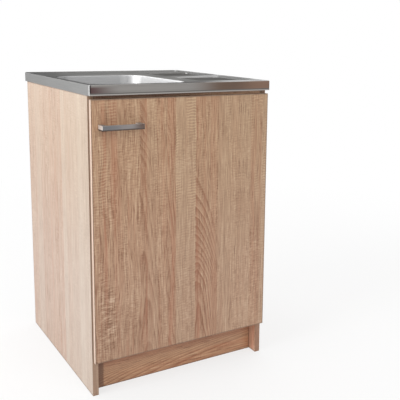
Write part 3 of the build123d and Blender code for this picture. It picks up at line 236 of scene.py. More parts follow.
# sawn oak decor: across, through and along the board, in metres
oak = {
    "scale": [
        (0.0, (0.215, 0.105, 0.055)),
        (0.25, (0.318, 0.178, 0.105)),
        (0.50, (0.425, 0.262, 0.168)),
        (0.75, (0.515, 0.345, 0.228)),
        (1.0, (0.630, 0.465, 0.335)),
    ],
    # warm strips blush, by a share of their warmth and a little everywhere; cool ones turn grey
    "red": (0.425, 0.183, 0.105),
    "redShare": (0.85, 0.05),
    "redRings": 0.5,
    "grey": (0.455, 0.345, 0.245),
    "greyShare": 0.46,
    # each strip takes its grain from another place, and the grain sways
    "jumpTone": 2.9,
    "jumpWarm": 4.7,
    "swayCells": (12.0, 5.0),
    "swayReach": 0.020,
    # cells per metre across, through and along the board, then detail, roughness and distortion
    "noise": {
        "broad": [(36.0, 36.0, 1.6)],
        "streak": [(165.0, 165.0, 2.4), 3.0, 0.6],
        "line": [(360.0, 360.0, 9.0), 3.0, 0.65],
        "pore": [(520.0, 520.0, 24.0)],
        "crinkle": [(75.0, 75.0, 400.0), 2.0, 0.6],
        "blush": [(75.0, 75.0, 2.1), 3.0, 0.6, 0.4],
        "zone": [(22.0, 22.0, 6.5)],
        "sawPatch": [(26.0, 26.0, 5.0)],
    },
    # the same for noise that runs on across the strips
    "bar": [(38.0, 38.0, 135.0), 1.0, 0.5, 0.3],
    "sawWobble": [(70.0, 70.0, 26.0)],
    # where a mask starts and where it is full: of a noise, a wave or metres from the knot
    "mask": {
        "dash": (0.53, 0.64),
        "zone": (0.44, 0.60),
        "blush": (0.42, 0.70),
        "grey": (0.40, 0.0),
        "paleBar": (0.54, 0.68),
        "darkBar": (0.46, 0.34),
        "knotAcross": (0.034, 0.020),
        "knotAlong": (0.13, 0.04),
        "sawRidge": (-0.2, 1.0),
        "sawGroove": (0.1, -0.9),
        "sawBroken": (0.24, 0.52),
        "sawFoot": (-0.05, 0.05, 0.30, 1.0),    # never less than 0.30
    },
    # what each part of the figure adds to the strip's tone
    "depth": {
        "broad": 0.18,
        "streak": 0.70,
        "line": 1.95,
        "dash": -0.36,
        "crinkle": 2.0,
        "lift": 0.072,    # makes up for the dark dashes
        "knot": -0.06,
        "paleBar": 0.34,
        "darkBar": -0.20,
        "rings": -0.50,
        "ridges": 0.22,
        "heart": 0.06,
    },
    # crinkles grow with the strip's saw marks and the zone, each a share and a constant
    "crinkleSaw": (0.46, 0.44),
    "crinkleZone": (0.75, 0.25),
    "crinkleKnot": 0.25,
    "heartSoft": -0.62,    # the grain is fainter inside a heart
    # saw marks: metres between two, and the noise at which a patch starts, by a share of the
    # strip's saw value and a constant, and how far on it is full
    "sawLight": (0.600, 0.440, 0.300),
    "sawDark": (0.290, 0.160, 0.098),
    "sawLightShare": 0.70,
    "sawDarkShare": 0.26,
    "sawPitch": 0.0080,
    "sawSlant": -9.0,
    "sawWander": 1.3,
    "sawStart": (-0.10, 0.50),
    "sawFade": 0.14,
    "sawKnot": 0.22,
    # rings crowd together with their depth below the tip; the heart leans as it rises
    "ringFirst": 14.0,
    "ringCrowd": 74.0,
    "ringFine": 0.0105,
    "ringBelow": 0.12,
    "ringSoft": 0.05,
    "ringLean": 0.07,
    "ringSway": 0.030,
    "ringWander": (22.0, 22.0, 8.0),
    # parts of one ring's width: where a line starts and is full, is gone again, and where that
    # begins
    "ringLine": (0.0, 0.10, 0.52, 0.08),
    "ridgeLine": (0.60, 0.92, 1.0, 0.96),
    "fineLine": (0.0, 0.3, 1.0, 0.3),
    "fineShare": 0.32,
    # a heart's soft ends: metres about its tip and its cut edge, and parts of its reach
    "heartTip": (-0.03, 0.02),
    "heartSide": (1.3, 0.7),
    "heartCut": 0.0006,
    "relief": {"line": 0.5, "dash": -0.8, "saw": 0.7},
    "sheen": (0.16, 0.36),
}


# growth rings nested below a heart's tip: each line is sharp above and fades below, the flanks
# steepen outwards and run on straight below the foot, and the strip's left edge cuts them off
def nestedArchesGroup(values):
    numbers = {"Across": 0.0, "Tip": 0.0, "Foot": 0.0, "Left": -1.0, "Bend": 26.0, "Reach": 0.08,
               "Pace": 1.0, "Strength": 0.0}
    tree, given, out = newGroup("nestedArches", ["Vector"], [], numbers,
                                ["Rings", "Ridges", "Field"])
    across, _, along = split(tree, given["Vector"])
    lean = product(tree, calc(tree, "SUBTRACT", along, given["Foot"]), values["ringLean"])
    side = calc(tree, "ADD", calc(tree, "SUBTRACT", across, given["Across"]), lean)
    away = calc(tree, "ABSOLUTE", side)
    fall = calc(tree, "SUBTRACT", given["Tip"], along)
    full = calc(tree, "SUBTRACT", given["Tip"], given["Foot"])
    below = calc(tree, "SUBTRACT", fall, full)
    below = calc(tree, "MULTIPLY_ADD", below, values["ringBelow"], full)
    fall = calc(tree, "SMOOTH_MIN", fall, below, values["ringSoft"])
    level = calc(tree, "SUBTRACT", fall, product(tree, away, away, given["Bend"]))
    wander = swing(tree, cellNoise(tree, given["Vector"], values["ringWander"]))
    level = calc(tree, "MULTIPLY_ADD", wander, values["ringSway"], level)
    crowd = calc(tree, "MULTIPLY_ADD", level, values["ringCrowd"], values["ringFirst"])
    phase = calc(tree, "FRACT", product(tree, level, product(tree, crowd, given["Pace"])))
    ring = window(tree, phase, *values["ringLine"])
    ridge = window(tree, phase, *values["ridgeLine"])
    finer = calc(tree, "FRACT", calc(tree, "DIVIDE", level, values["ringFine"]))
    finer = window(tree, finer, *values["fineLine"])
    ring = calc(tree, "MULTIPLY_ADD", finer, values["fineShare"], ring)
    outer, inner = [product(tree, given["Reach"], share) for share in values["heartSide"]]
    field = product(tree, between(tree, level, *values["heartTip"]),
                    between(tree, away, outer, inner))
    cut = between(tree, calc(tree, "SUBTRACT", across, given["Left"]),
                  -values["heartCut"], values["heartCut"])
    field = product(tree, field, product(tree, cut, given["Strength"]))
    plug(tree, product(tree, field, ring), out["Rings"])
    plug(tree, product(tree, field, ridge), out["Ridges"])
    plug(tree, field, out["Field"])
    return tree


def sawnOakGroup(values):
    numbers = {"Shift": 0.0, "Rings": 0.0, "Ridges": 0.0, "Field": 0.0, "Saw": 1.0,
               "SawFoot": -5.0, "Contrast": 1.0, "KnotAcross": 0.0, "KnotAlong": -5.0}
    tree, given, out = newGroup("sawnOak", ["Vector"], ["Strip", "Tone"], numbers,
                                ["Color", "Height", "Sheen"])
    mask = values["mask"]
    depth = values["depth"]
    across, through, along = split(tree, given["Vector"])
    strip = addNode(tree, "ShaderNodeSeparateColor")
    plug(tree, given["Strip"], strip.inputs[0])
    stripTone, stripWarm, stripSaw = strip.outputs
    jump = calc(tree, "MULTIPLY_ADD", stripTone, values["jumpTone"],
                product(tree, stripWarm, values["jumpWarm"]))
    jump = calc(tree, "ADD", jump, given["Shift"])
    swayAcross, swayAlong = values["swayCells"]
    sway = gather(tree, product(tree, across, swayAcross), jump, product(tree, along, swayAlong))
    sway = swing(tree, grainNoise(tree, sway))
    swayed = calc(tree, "MULTIPLY_ADD", sway, values["swayReach"], across)
    board = gather(tree, calc(tree, "ADD", swayed, jump), through, along)
    noise = {name: cellNoise(tree, board, *cells) for name, cells in values["noise"].items()}

    # cross marks gather in zones, and most of all about the knot
    acrossKnot = calc(tree, "ABSOLUTE", calc(tree, "SUBTRACT", across, given["KnotAcross"]))
    alongKnot = calc(tree, "ABSOLUTE", calc(tree, "SUBTRACT", along, given["KnotAlong"]))
    knot = product(tree, between(tree, acrossKnot, *mask["knotAcross"]),
                   between(tree, alongKnot, *mask["knotAlong"]))
    zone = between(tree, noise["zone"], *mask["zone"])
    dash = between(tree, noise["pore"], *mask["dash"])
    soften = calc(tree, "MULTIPLY_ADD", given["Field"], values["heartSoft"], 1.0)
    rough = product(tree, calc(tree, "MULTIPLY_ADD", stripSaw, *values["crinkleSaw"]),
                    calc(tree, "MULTIPLY_ADD", zone, *values["crinkleZone"]))
    rough = calc(tree, "MULTIPLY_ADD", knot, values["crinkleKnot"], rough)
    rough = product(tree, rough, soften)

    grain = {
        "broad": swing(tree, noise["broad"]),
        "streak": product(tree, swing(tree, noise["streak"]), soften),
        "line": product(tree, swing(tree, noise["line"]), soften),
        "dash": dash,
        "crinkle": product(tree, swing(tree, noise["crinkle"]), rough),
    }
    tone = stripTone
    for name, part in grain.items():
        tone = calc(tree, "MULTIPLY_ADD", part, depth[name], tone)
    tone = calc(tree, "ADD", tone, depth["lift"])
    tone = calc(tree, "MULTIPLY_ADD", calc(tree, "SUBTRACT", tone, stripTone), given["Contrast"],
                stripTone)
    # short uneven bars lie across the grain at the knot
    bar = cellNoise(tree, given["Vector"], *values["bar"])
    marks = {
        "knot": knot,
        "paleBar": product(tree, between(tree, bar, *mask["paleBar"]), knot),
        "darkBar": product(tree, between(tree, bar, *mask["darkBar"]), knot),
        "rings": given["Rings"],
        "ridges": given["Ridges"],
    }
    for name, part in marks.items():
        tone = calc(tree, "MULTIPLY_ADD", part, depth[name], tone)
    tone = calc(tree, "MULTIPLY_ADD", given["Field"], depth["heart"], tone, clamp=True)
    colour = colourScale(tree, tone, values["scale"])

    blush = calc(tree, "MULTIPLY_ADD", given["Rings"], values["redRings"],
                 between(tree, noise["blush"], *mask["blush"]))
    warmth = calc(tree, "MULTIPLY_ADD", stripWarm, *values["redShare"])
    colour = tint(tree, calc(tree, "MULTIPLY", blush, warmth, clamp=True), colour, values["red"])
    pale = product(tree, between(tree, stripWarm, *mask["grey"]), values["greyShare"])
    colour = tint(tree, pale, colour, values["grey"])

    # fine slanted cross lines left by the saw, only in some strips and patches
    wobble = cellNoise(tree, given["Vector"], *values["sawWobble"])
    wave = calc(tree, "ADD", calc(tree, "DIVIDE", along, values["sawPitch"]),
                product(tree, across, values["sawSlant"]))
    wave = calc(tree, "MULTIPLY_ADD", wobble, values["sawWander"], wave)
    wave = calc(tree, "SINE", product(tree, wave, 2 * math.pi))
    start = calc(tree, "MULTIPLY_ADD", stripSaw, *values["sawStart"])
    patch = between(tree, noise["sawPatch"], start, calc(tree, "ADD", start, values["sawFade"]))
    sawn = between(tree, calc(tree, "SUBTRACT", along, given["SawFoot"]), *mask["sawFoot"])
    patch = product(tree, patch, product(tree, stripSaw, sawn))
    patch = calc(tree, "MAXIMUM", patch, product(tree, knot, values["sawKnot"]))
    patch = product(tree, patch, between(tree, noise["line"], *mask["sawBroken"]), given["Saw"])
    saw = product(tree, between(tree, wave, *mask["sawRidge"]), patch)
    colour = tint(tree, product(tree, saw, values["sawLightShare"]), colour, values["sawLight"])
    groove = product(tree, between(tree, wave, *mask["sawGroove"]), patch)
    colour = tint(tree, product(tree, groove, values["sawDarkShare"]), colour, values["sawDark"])
    plug(tree, vectorCalc(tree, "MULTIPLY", colour, given["Tone"]), out["Color"])

    relief = values["relief"]
    height = product(tree, noise["line"], relief["line"])
    height = calc(tree, "MULTIPLY_ADD", dash, relief["dash"], height)
    height = calc(tree, "MULTIPLY_ADD", saw, relief["saw"], height)
    plug(tree, height, out["Height"])
    plug(tree, calc(tree, "MULTIPLY_ADD", noise["streak"], *values["sheen"]), out["Sheen"])
    return tree


# random strips for boards without a fixed layout: tone as a share and a constant, warmth, saw marks
looseStrips = {"random": 0.8, "tone": (0.15, 0.455), "warmth": 0.75, "saw": (0.45, 1.0)}


def oakStripsGroup(values):
    numbers = {"Across": 0.0, "Shift": 0.0, "PerMetre": 20.0}
    tree, given, out = newGroup("oakStrips", [], [], numbers, ["Color"])
    lane = calc(tree, "MULTIPLY_ADD", given["Across"], given["PerMetre"], given["Shift"])
    cells = addNode(tree, "ShaderNodeTexVoronoi", voronoi_dimensions="1D")
    cells.inputs["Scale"].default_value = 1.0
    cells.inputs["Randomness"].default_value = values["random"]
    plug(tree, lane, cells.inputs["W"])
    parts = addNode(tree, "ShaderNodeSeparateColor")
    plug(tree, cells.outputs["Color"], parts.inputs[0])
    whole = addNode(tree, "ShaderNodeCombineColor")
    plug(tree, calc(tree, "MULTIPLY_ADD", parts.outputs[0], *values["tone"]), whole.inputs[0])
    plug(tree, product(tree, parts.outputs[1], values["warmth"]), whole.inputs[1])
    plug(tree, between(tree, parts.outputs[2], *values["saw"]), whole.inputs[2])
    plug(tree, whole.outputs[0], out["Color"])
    return tree


# how near a point of a board is to one of its edges, and where the edge is worn
edgeWear = {"chips": (160.0, 3.0, 0.7), "worn": (0.52, 0.66)}


def boardEdgeGroup(values):
    tree, given, out = newGroup("boardEdge", ["Vector", "Low", "High"], [], {"Reach": 0.001},
                                ["Edge", "Worn"])
    fromLow = vectorCalc(tree, "SUBTRACT", given["Vector"], given["Low"])
    toHigh = vectorCalc(tree, "SUBTRACT", given["High"], given["Vector"])
    x, y, z = split(tree, vectorCalc(tree, "MINIMUM", fromLow, toHigh))
    total = calc(tree, "ADD", calc(tree, "ADD", x, y), z)
    most = calc(tree, "MAXIMUM", calc(tree, "MAXIMUM", x, y), z)
    least = calc(tree, "MINIMUM", calc(tree, "MINIMUM", x, y), z)
    distance = calc(tree, "SUBTRACT", calc(tree, "SUBTRACT", total, most), least)
    edge = between(tree, distance, given["Reach"], 0.0)
    chips = grainNoise(tree, given["Vector"], *values["chips"])
    plug(tree, edge, out["Edge"])
    plug(tree, product(tree, edge, between(tree, chips, *values["worn"])), out["Worn"])
    return tree


# raw pressed chips where a board has no banding
chipboard = {
    "pitch": 0.0032,
    "scale": [
        (0.0, (0.33, 0.22, 0.125)),
        (0.35, (0.47, 0.345, 0.215)),
        (0.8, (0.58, 0.45, 0.30)),
        (1.0, (0.66, 0.54, 0.385)),
    ],
}


def pressedChipsGroup(values):
    tree, given, out = newGroup("pressedChips", ["Vector"], [], {"Pitch": values["pitch"]},
                                ["Color", "Height"])
    flakes = addNode(tree, "ShaderNodeTexVoronoi")
    flakes.inputs["Scale"].default_value = 1.0
    plug(tree, resized(tree, given["Vector"], calc(tree, "DIVIDE", 1.0, given["Pitch"])),
         flakes.inputs["Vector"])
    grey = addNode(tree, "ShaderNodeSeparateColor")
    plug(tree, flakes.outputs["Color"], grey.inputs[0])
    plug(tree, colourScale(tree, grey.outputs[0], values["scale"]), out["Color"])
    plug(tree, flakes.outputs["Distance"], out["Height"])
    return tree


# rolled and brushed sheet: fine lines along one way, broad cloudiness
brushed = {
    "linesX": [(9.0, 950.0, 950.0), 3.0, 0.6],
    "linesY": [(950.0, 9.0, 950.0), 3.0, 0.6],
    "cloud": (7.0, 3.0, 0.55),
}


def brushedSheetGroup(values):
    tree, given, out = newGroup("brushedSheet", ["Vector"], [], {"LinesAlongY": 0.0},
                                ["Lines", "Cloud"])
    lines = addNode(tree, "ShaderNodeMix", data_type="FLOAT")
    plug(tree, given["LinesAlongY"], lines.inputs["Factor"])
    plug(tree, cellNoise(tree, given["Vector"], *values["linesX"]), lines.inputs["A"])
    plug(tree, cellNoise(tree, given["Vector"], *values["linesY"]), lines.inputs["B"])
    plug(tree, lines.outputs["Result"], out["Lines"])
    plug(tree, grainNoise(tree, given["Vector"], *values["cloud"]), out["Cloud"])
    return tree


# finger marks and water spots; their scales are for marks of size 1
touched = {
    "smudge": (1.0, 4.0, 0.55, 0.6),
    "smudgeMask": (0.42, 0.68),
    "spotScale": 3.0,
    "spotMask": (0.20, 0.10),
}


def handlingGroup(values):
    tree, given, out = newGroup("handling", ["Vector"], [], {"Size": 0.03}, ["Smudge", "Spots"])
    sized = resized(tree, given["Vector"], calc(tree, "DIVIDE", 1.0, given["Size"]))
    smudge = grainNoise(tree, sized, *values["smudge"])
    plug(tree, between(tree, smudge, *values["smudgeMask"]), out["Smudge"])
    spots = addNode(tree, "ShaderNodeTexVoronoi")
    spots.inputs["Scale"].default_value = values["spotScale"]
    plug(tree, sized, spots.inputs["Vector"])
    plug(tree, between(tree, spots.outputs["Distance"], *values["spotMask"]), out["Spots"])
    return tree


# moulded plastic and rubber: slight mottling and a fine skin
moulded = {"mottle": (26.0, 3.0, 0.6), "grain": 900.0}


def mouldedSkinGroup(values):
    tree, given, out = newGroup("mouldedSkin", ["Vector"], [], {"Grain": values["grain"]},
                                ["Mottle", "Skin"])
    plug(tree, grainNoise(tree, given["Vector"], *values["mottle"]), out["Mottle"])
    fine = addNode(tree, "ShaderNodeTexNoise")
    plug(tree, given["Vector"], fine.inputs["Vector"])
    plug(tree, given["Grain"], fine.inputs["Scale"])
    plug(tree, fine.outputs["Fac"], out["Skin"])
    return tree


nestedArches = nestedArchesGroup(oak)
sawnOak = sawnOakGroup(oak)
oakStrips = oakStripsGroup(looseStrips)
boardEdge = boardEdgeGroup(edgeWear)
pressedChips = pressedChipsGroup(chipboard)
brushedSheet = brushedSheetGroup(brushed)
handling = handlingGroup(touched)
mouldedSkin = mouldedSkinGroup(moulded)
print("shader groups built")


def dress(name, material):
    for slot in nodes[name].material_slots:
        slot.material = material


# strips of the two boards seen best, from the left or front edge: share of the width, then
# tone, warmth and saw marks
doorStrips = [
    (0.0, (0.54, 0.45, 0.5)),
    (0.030, (0.48, 0.65, 0.6)),
    (0.124, (0.50, 0.35, 0.2)),
    (0.176, (0.53, 0.40, 0.3)),
    (0.2463, (0.46, 0.62, 0.2)),
    (0.283, (0.56, 0.26, 0.5)),
    (0.338, (0.52, 0.35, 0.3)),
    (0.396, (0.46, 0.52, 0.2)),
    (0.445, (0.58, 0.14, 1.0)),
    (0.555, (0.46, 0.45, 0.3)),
    (0.615, (0.49, 0.32, 0.2)),
    (0.694, (0.53, 0.18, 0.4)),
    (0.769, (0.51, 0.20, 0.4)),
    (0.833, (0.57, 0.16, 0.2)),
    (0.898, (0.49, 0.28, 0.5)),
    (0.965, (0.57, 0.14, 1.0)),
]
sideStrips = [
    (0.0, (0.55, 0.10, 0.2)),
    (0.090, (0.66, 0.05, 0.3)),
    (0.155, (0.56, 0.15, 0.4)),
    (0.270, (0.53, 0.20, 0.2)),
    (0.340, (0.59, 0.10, 0.6)),
    (0.400, (0.50, 0.30, 0.2)),
    (0.470, (0.47, 0.45, 0.3)),
    (0.550, (0.51, 0.35, 0.3)),
    (0.620, (0.47, 0.30, 0.6)),
    (0.700, (0.51, 0.30, 0.3)),
    (0.770, (0.54, 0.20, 0.2)),
    (0.870, (0.50, 0.30, 0.4)),
]

# tints near the foot and near the top, and the heights they change between
# painted light on the door: its tone turns warmer and a little darker towards the top
doorLightTones = [(0.950, 0.905, 0.890), (0.935, 0.890, 0.800), 0.20, 0.82]
# a painted pale sheen on both side panels, paler towards the foot
sideLitTones = [(1.060, 1.240, 1.500), (1.020, 1.140, 1.240), 0.20, 0.82]
innerTones = [(0.98, 0.94, 0.90), (0.98, 0.94, 0.90), 0.0, 1.0]
# painted shade on the plinth: darker and redder towards its top under the door, paler at its foot
plinthShadeTones = [(1.10, 0.97, 0.85), (0.94, 0.70, 0.60), 0.044, 0.070]
# painted shade on the side panels' front edges; then for the right one the inward face, its painted
# light below the bottom panel, and the heights where that starts and is full
sideFrontShade = (0.75, 0.61, 0.51)
innerFootLight = [(-1.0, 0, 0), (1.75, 1.65, 1.55), 0.106, 0.098]

# what a board has unless its own entry says otherwise
plainBoard = {
    "contrast": 1.0,    # of the grain
    "band": 0.15,    # how much paler the banded edges are
    "pace": 1.0,    # how close the rings lie
    "knot": (0.0, -5.0),    # place across and along the grain, here off the board
    "sawFoot": -5.0,    # height below which the saw marks fade
    "raw": [],    # faces left unbanded
}

# oak boards: axes give across, through and along the grain, strips a list or so many per metre,
# shift moves the grain and saw is the strength of the saw marks; a heart is its place across,
# tip, foot, left limit, bend, reach and strength. Light falls unevenly on the door and is painted
# into its tone: footFall and topFall give two heights, and the shares by which its right side is
# painted paler at the foot and darker at the top. The back line, the left-to-right tint and the
# left end are painted shade and light; they end with the two places, in metres, that their shade
# changes between
boards = {
    "door_panel": {
        "axes": "XYZ", "shift": 0.37, "strips": doorStrips, "saw": 1.0, "tones": doorLightTones,
        "band": 0.6, "knot": (-0.232, 0.235), "sawFoot": 0.50,
        "footFall": (0.42, 0.17, 0.0, 0.075), "topFall": (0.62, 0.80, 0.0, 0.045),
        "backShadowLine": (0.0075, 0.0045),
        "hearts": [(0.036, 0.600, 0.290, 0.030, 34.0, 0.068, 0.70),
                   (-0.151, 0.880, 0.640, -0.137, 26.0, 0.045, 0.45),
                   (-0.100, 0.900, 0.700, -0.056, 26.0, 0.060, 0.45)],
    },
    "side_panel_left": {
        "axes": "YXZ", "shift": 4.10, "strips": sideStrips, "saw": 0.5, "tones": sideLitTones,
        "contrast": 0.65, "band": 0.0, "frontShade": sideFrontShade,
        "hearts": [(0.112, 0.68, 0.56, 0.098, 90.0, 0.026, 0.35)],
        "raw": [(0, 1, 0), (0, 0, -1), (0, 0, 1)],
    },
    "side_panel_right": {
        "axes": "YXZ", "shift": 8.45, "strips": 17.0, "saw": 0.6, "tones": sideLitTones,
        "contrast": 0.65, "band": 0.0, "frontShade": sideFrontShade, "innerFootLight": innerFootLight,
        "hearts": [(-0.05, 0.60, 0.32, -0.052, 26.0, 0.07, 0.5)],
        "raw": [(0, 1, 0), (0, 0, -1), (0, 0, 1)],
    },
    "bottom_panel": {
        "axes": "YZX", "shift": 2.70, "strips": 17.0, "saw": 0.5, "tones": innerTones,
        "hearts": [(0.02, 0.15, -0.10, 0.005, 26.0, 0.07, 0.7)], "raw": [(0, 1, 0)],
    },
    "plinth_board": {
        "axes": "ZYX", "shift": 6.20, "strips": 24.0, "saw": 0.1, "tones": plinthShadeTones,
        "hearts": [(-0.03, -0.10, -0.50, -1.0, -22.0, 0.16, 0.80)], "pace": 0.8,
        "leftEndShade": [(0.130, 0.058, 0.032), 0.75, 0.031, 0.024],
        "raw": [(0, 0, -1), (0, 0, 1)],
    },
    "front_rail": {
        "axes": "ZYX", "shift": 1.15, "strips": 20.0, "saw": 0.4, "tones": innerTones,
        "leftShadeRightLight": [(0.62, 0.56, 0.50), (1.65, 1.62, 1.60), -0.10, 0.22],
        "hearts": [], "raw": [(0, 0, -1), (0, 0, 1)],
    },
    "rear_top_rail": {
        "axes": "ZYX", "shift": 3.55, "strips": 20.0, "saw": 0.4, "tones": innerTones,
        "hearts": [(0.76, 0.18, -0.10, 0.0, 26.0, 0.06, 0.6)], "raw": [(0, 0, -1), (0, 0, 1)],
    },
    "rear_lower_rail": {
        "axes": "ZYX", "shift": 5.05, "strips": 20.0, "saw": 0.4, "tones": innerTones,
        "hearts": [], "raw": [(0, 0, 1)],
    },
}

boardFinish = {
    "edgeReach": 0.0045,
    # painted shade: a dark line along the edges of the broad faces and behind the door's band
    "edgeShade": (0.17, 0.105, 0.070),
    "edgeShadeShare": 0.8,
    "edgeRough": 0.1,
    "bandPale": (0.78, 0.63, 0.52),
    "wornPale": (0.60, 0.45, 0.31),
    "wornShare": 0.25,
    "rawRough": 0.4,
    "relief": 0.00022,
    "chipRelief": 0.0006,
}


def facingMask(tree, facing, direction, least=0.7):
    dot = addNode(tree, "ShaderNodeVectorMath", operation="DOT_PRODUCT")
    plug(tree, facing, dot.inputs[0])
    dot.inputs[1].default_value = direction
    return calc(tree, "GREATER_THAN", dot.outputs["Value"], least)


def anyFacing(tree, facing, directions):
    mask = facingMask(tree, facing, directions[0])
    for direction in directions[1:]:
        mask = calc(tree, "MAXIMUM", mask, facingMask(tree, facing, direction))
    return mask


def boardStrips(tree, values, across, low, high):
    if not isinstance(values["strips"], list):
        return useGroup(tree, oakStrips, Across=across, Shift=values["shift"],
                        PerMetre=values["strips"])["Color"]
    axis = "XYZ".index(values["axes"][0])
    share = calc(tree, "SUBTRACT", across, low[axis])
    share = calc(tree, "DIVIDE", share, high[axis] - low[axis])
    return colourScale(tree, share, values["strips"], "CONSTANT")


def boardHearts(tree, values, vector):
    found = {"Rings": 0.0, "Ridges": 0.0, "Field": 0.0}
    for place, tip, foot, left, bend, reach, strength in values["hearts"]:
        arches = useGroup(tree, nestedArches, Vector=vector, Across=place, Tip=tip, Foot=foot,
                          Left=left, Bend=bend, Reach=reach, Strength=strength,
                          Pace=values["pace"])
        found = {label: calc(tree, "MAXIMUM", arches[label], found[label]) for label in found}
    return found


def boardTone(tree, values, parts, high):
    footTone, topTone, start, end = values["tones"]
    tone = tint(tree, between(tree, parts["Z"], start, end), footTone, topTone)
    if "footFall" not in values:
        return tone
    foot = between(tree, parts["Z"], *values["footFall"])
    top = between(tree, parts["Z"], *values["topFall"])
    fall = calc(tree, "SUBTRACT", foot, top)
    sided = calc(tree, "DIVIDE", parts["X"], high.x)
    return resized(tree, tone, calc(tree, "MULTIPLY_ADD", fall, sided, 1.0))


# painted shade as a dark line behind the door's band, and painted light and shade on single faces
# and ends
def boardPlaces(tree, values, finish, parts, facing, band, box, colour):
    low, high = box
    if "backShadowLine" in values:
        behind = calc(tree, "SUBTRACT", high.y, parts["Y"])
        behind = product(tree, band, between(tree, behind, *values["backShadowLine"]))
        colour = tint(tree, product(tree, behind, finish["edgeShadeShare"]), colour,
                      finish["edgeShade"])
    # painted shade on the faces that look to the front
    if "frontShade" in values:
        front = facingMask(tree, facing, (0, -1.0, 0))
        colour = tint(tree, front, colour, values["frontShade"], "MULTIPLY")
    # painted light on the right panel's inward face below the bottom panel, where it lies in shade
    if "innerFootLight" in values:
        inward, pale, start, full = values["innerFootLight"]
        foot = product(tree, between(tree, parts["Z"], start, full),
                       facingMask(tree, facing, inward))
        colour = tint(tree, foot, colour, pale, "MULTIPLY")
    # painted shade at the front rail's left and painted light at its right
    if "leftShadeRightLight" in values:
        left, right, start, end = values["leftShadeRightLight"]
        shade = tint(tree, between(tree, parts["X"], start, end), left, right)
        colour = tint(tree, 1.0, colour, shade, "MULTIPLY")
    # painted shade at the plinth's left end, beside the left panel
    if "leftEndShade" in values:
        shade, share, start, full = values["leftEndShade"]
        fromLeft = calc(tree, "SUBTRACT", parts["X"], low.x)
        end = product(tree, between(tree, fromLeft, start, full), share)
        colour = tint(tree, end, colour, shade)
    return colour


def oakMaterial(name, values, finish):
    material, tree, shader, spot, facing = newMaterial(name + "Oak", Specular_IOR_Level=0.5)
    parts = dict(zip("XYZ", split(tree, spot)))
    across, through, along = [parts[axis] for axis in values["axes"]]
    vector = gather(tree, across, through, along)
    low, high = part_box(name)
    knotAcross, knotAlong = values["knot"]
    figure = useGroup(
        tree, sawnOak, Vector=vector, Strip=boardStrips(tree, values, across, low, high),
        Shift=values["shift"], Saw=values["saw"], SawFoot=values["sawFoot"],
        Tone=boardTone(tree, values, parts, high), Contrast=values["contrast"],
        KnotAcross=knotAcross, KnotAlong=knotAlong, **boardHearts(tree, values, vector))
    edges = useGroup(tree, boardEdge, Vector=spot, Low=low, High=high, Reach=finish["edgeReach"])
    wide = [float(axis == values["axes"][1]) for axis in "XYZ"]
    flat = anyFacing(tree, facing, [wide, [-part for part in wide]])
    # a painted shadow line along the edges of the broad faces
    rim = product(tree, edges["Edge"], flat)
    colour = tint(tree, product(tree, rim, finish["edgeShadeShare"]), figure["Color"],
                  finish["edgeShade"])
    band = calc(tree, "SUBTRACT", 1.0, flat, clamp=True)
    colour = tint(tree, product(tree, band, values["band"]), colour, finish["bandPale"])
    colour = tint(tree, product(tree, edges["Worn"], finish["wornShare"]), colour,
                  finish["wornPale"])
    colour = boardPlaces(tree, values, finish, parts, facing, band, (low, high), colour)
    roughness = calc(tree, "MULTIPLY_ADD", edges["Edge"], finish["edgeRough"], figure["Sheen"])
    height = figure["Height"]
    if values["raw"]:
        chips = useGroup(tree, pressedChips, Vector=vector)
        raw = anyFacing(tree, facing, values["raw"])
        colour = tint(tree, raw, colour, chips["Color"])
        roughness = calc(tree, "MULTIPLY_ADD", raw, finish["rawRough"], roughness, clamp=True)
        height = calc(tree, "MULTIPLY_ADD", product(tree, raw, chips["Height"]),
                      finish["chipRelief"] / finish["relief"], height)
    wireShader(tree, shader, colour, roughness, height, finish["relief"])
    return material


for name, values in boards.items():
    dress(name, oakMaterial(name, {**plainBoard, **values}, boardFinish))
print("oak boards dressed")
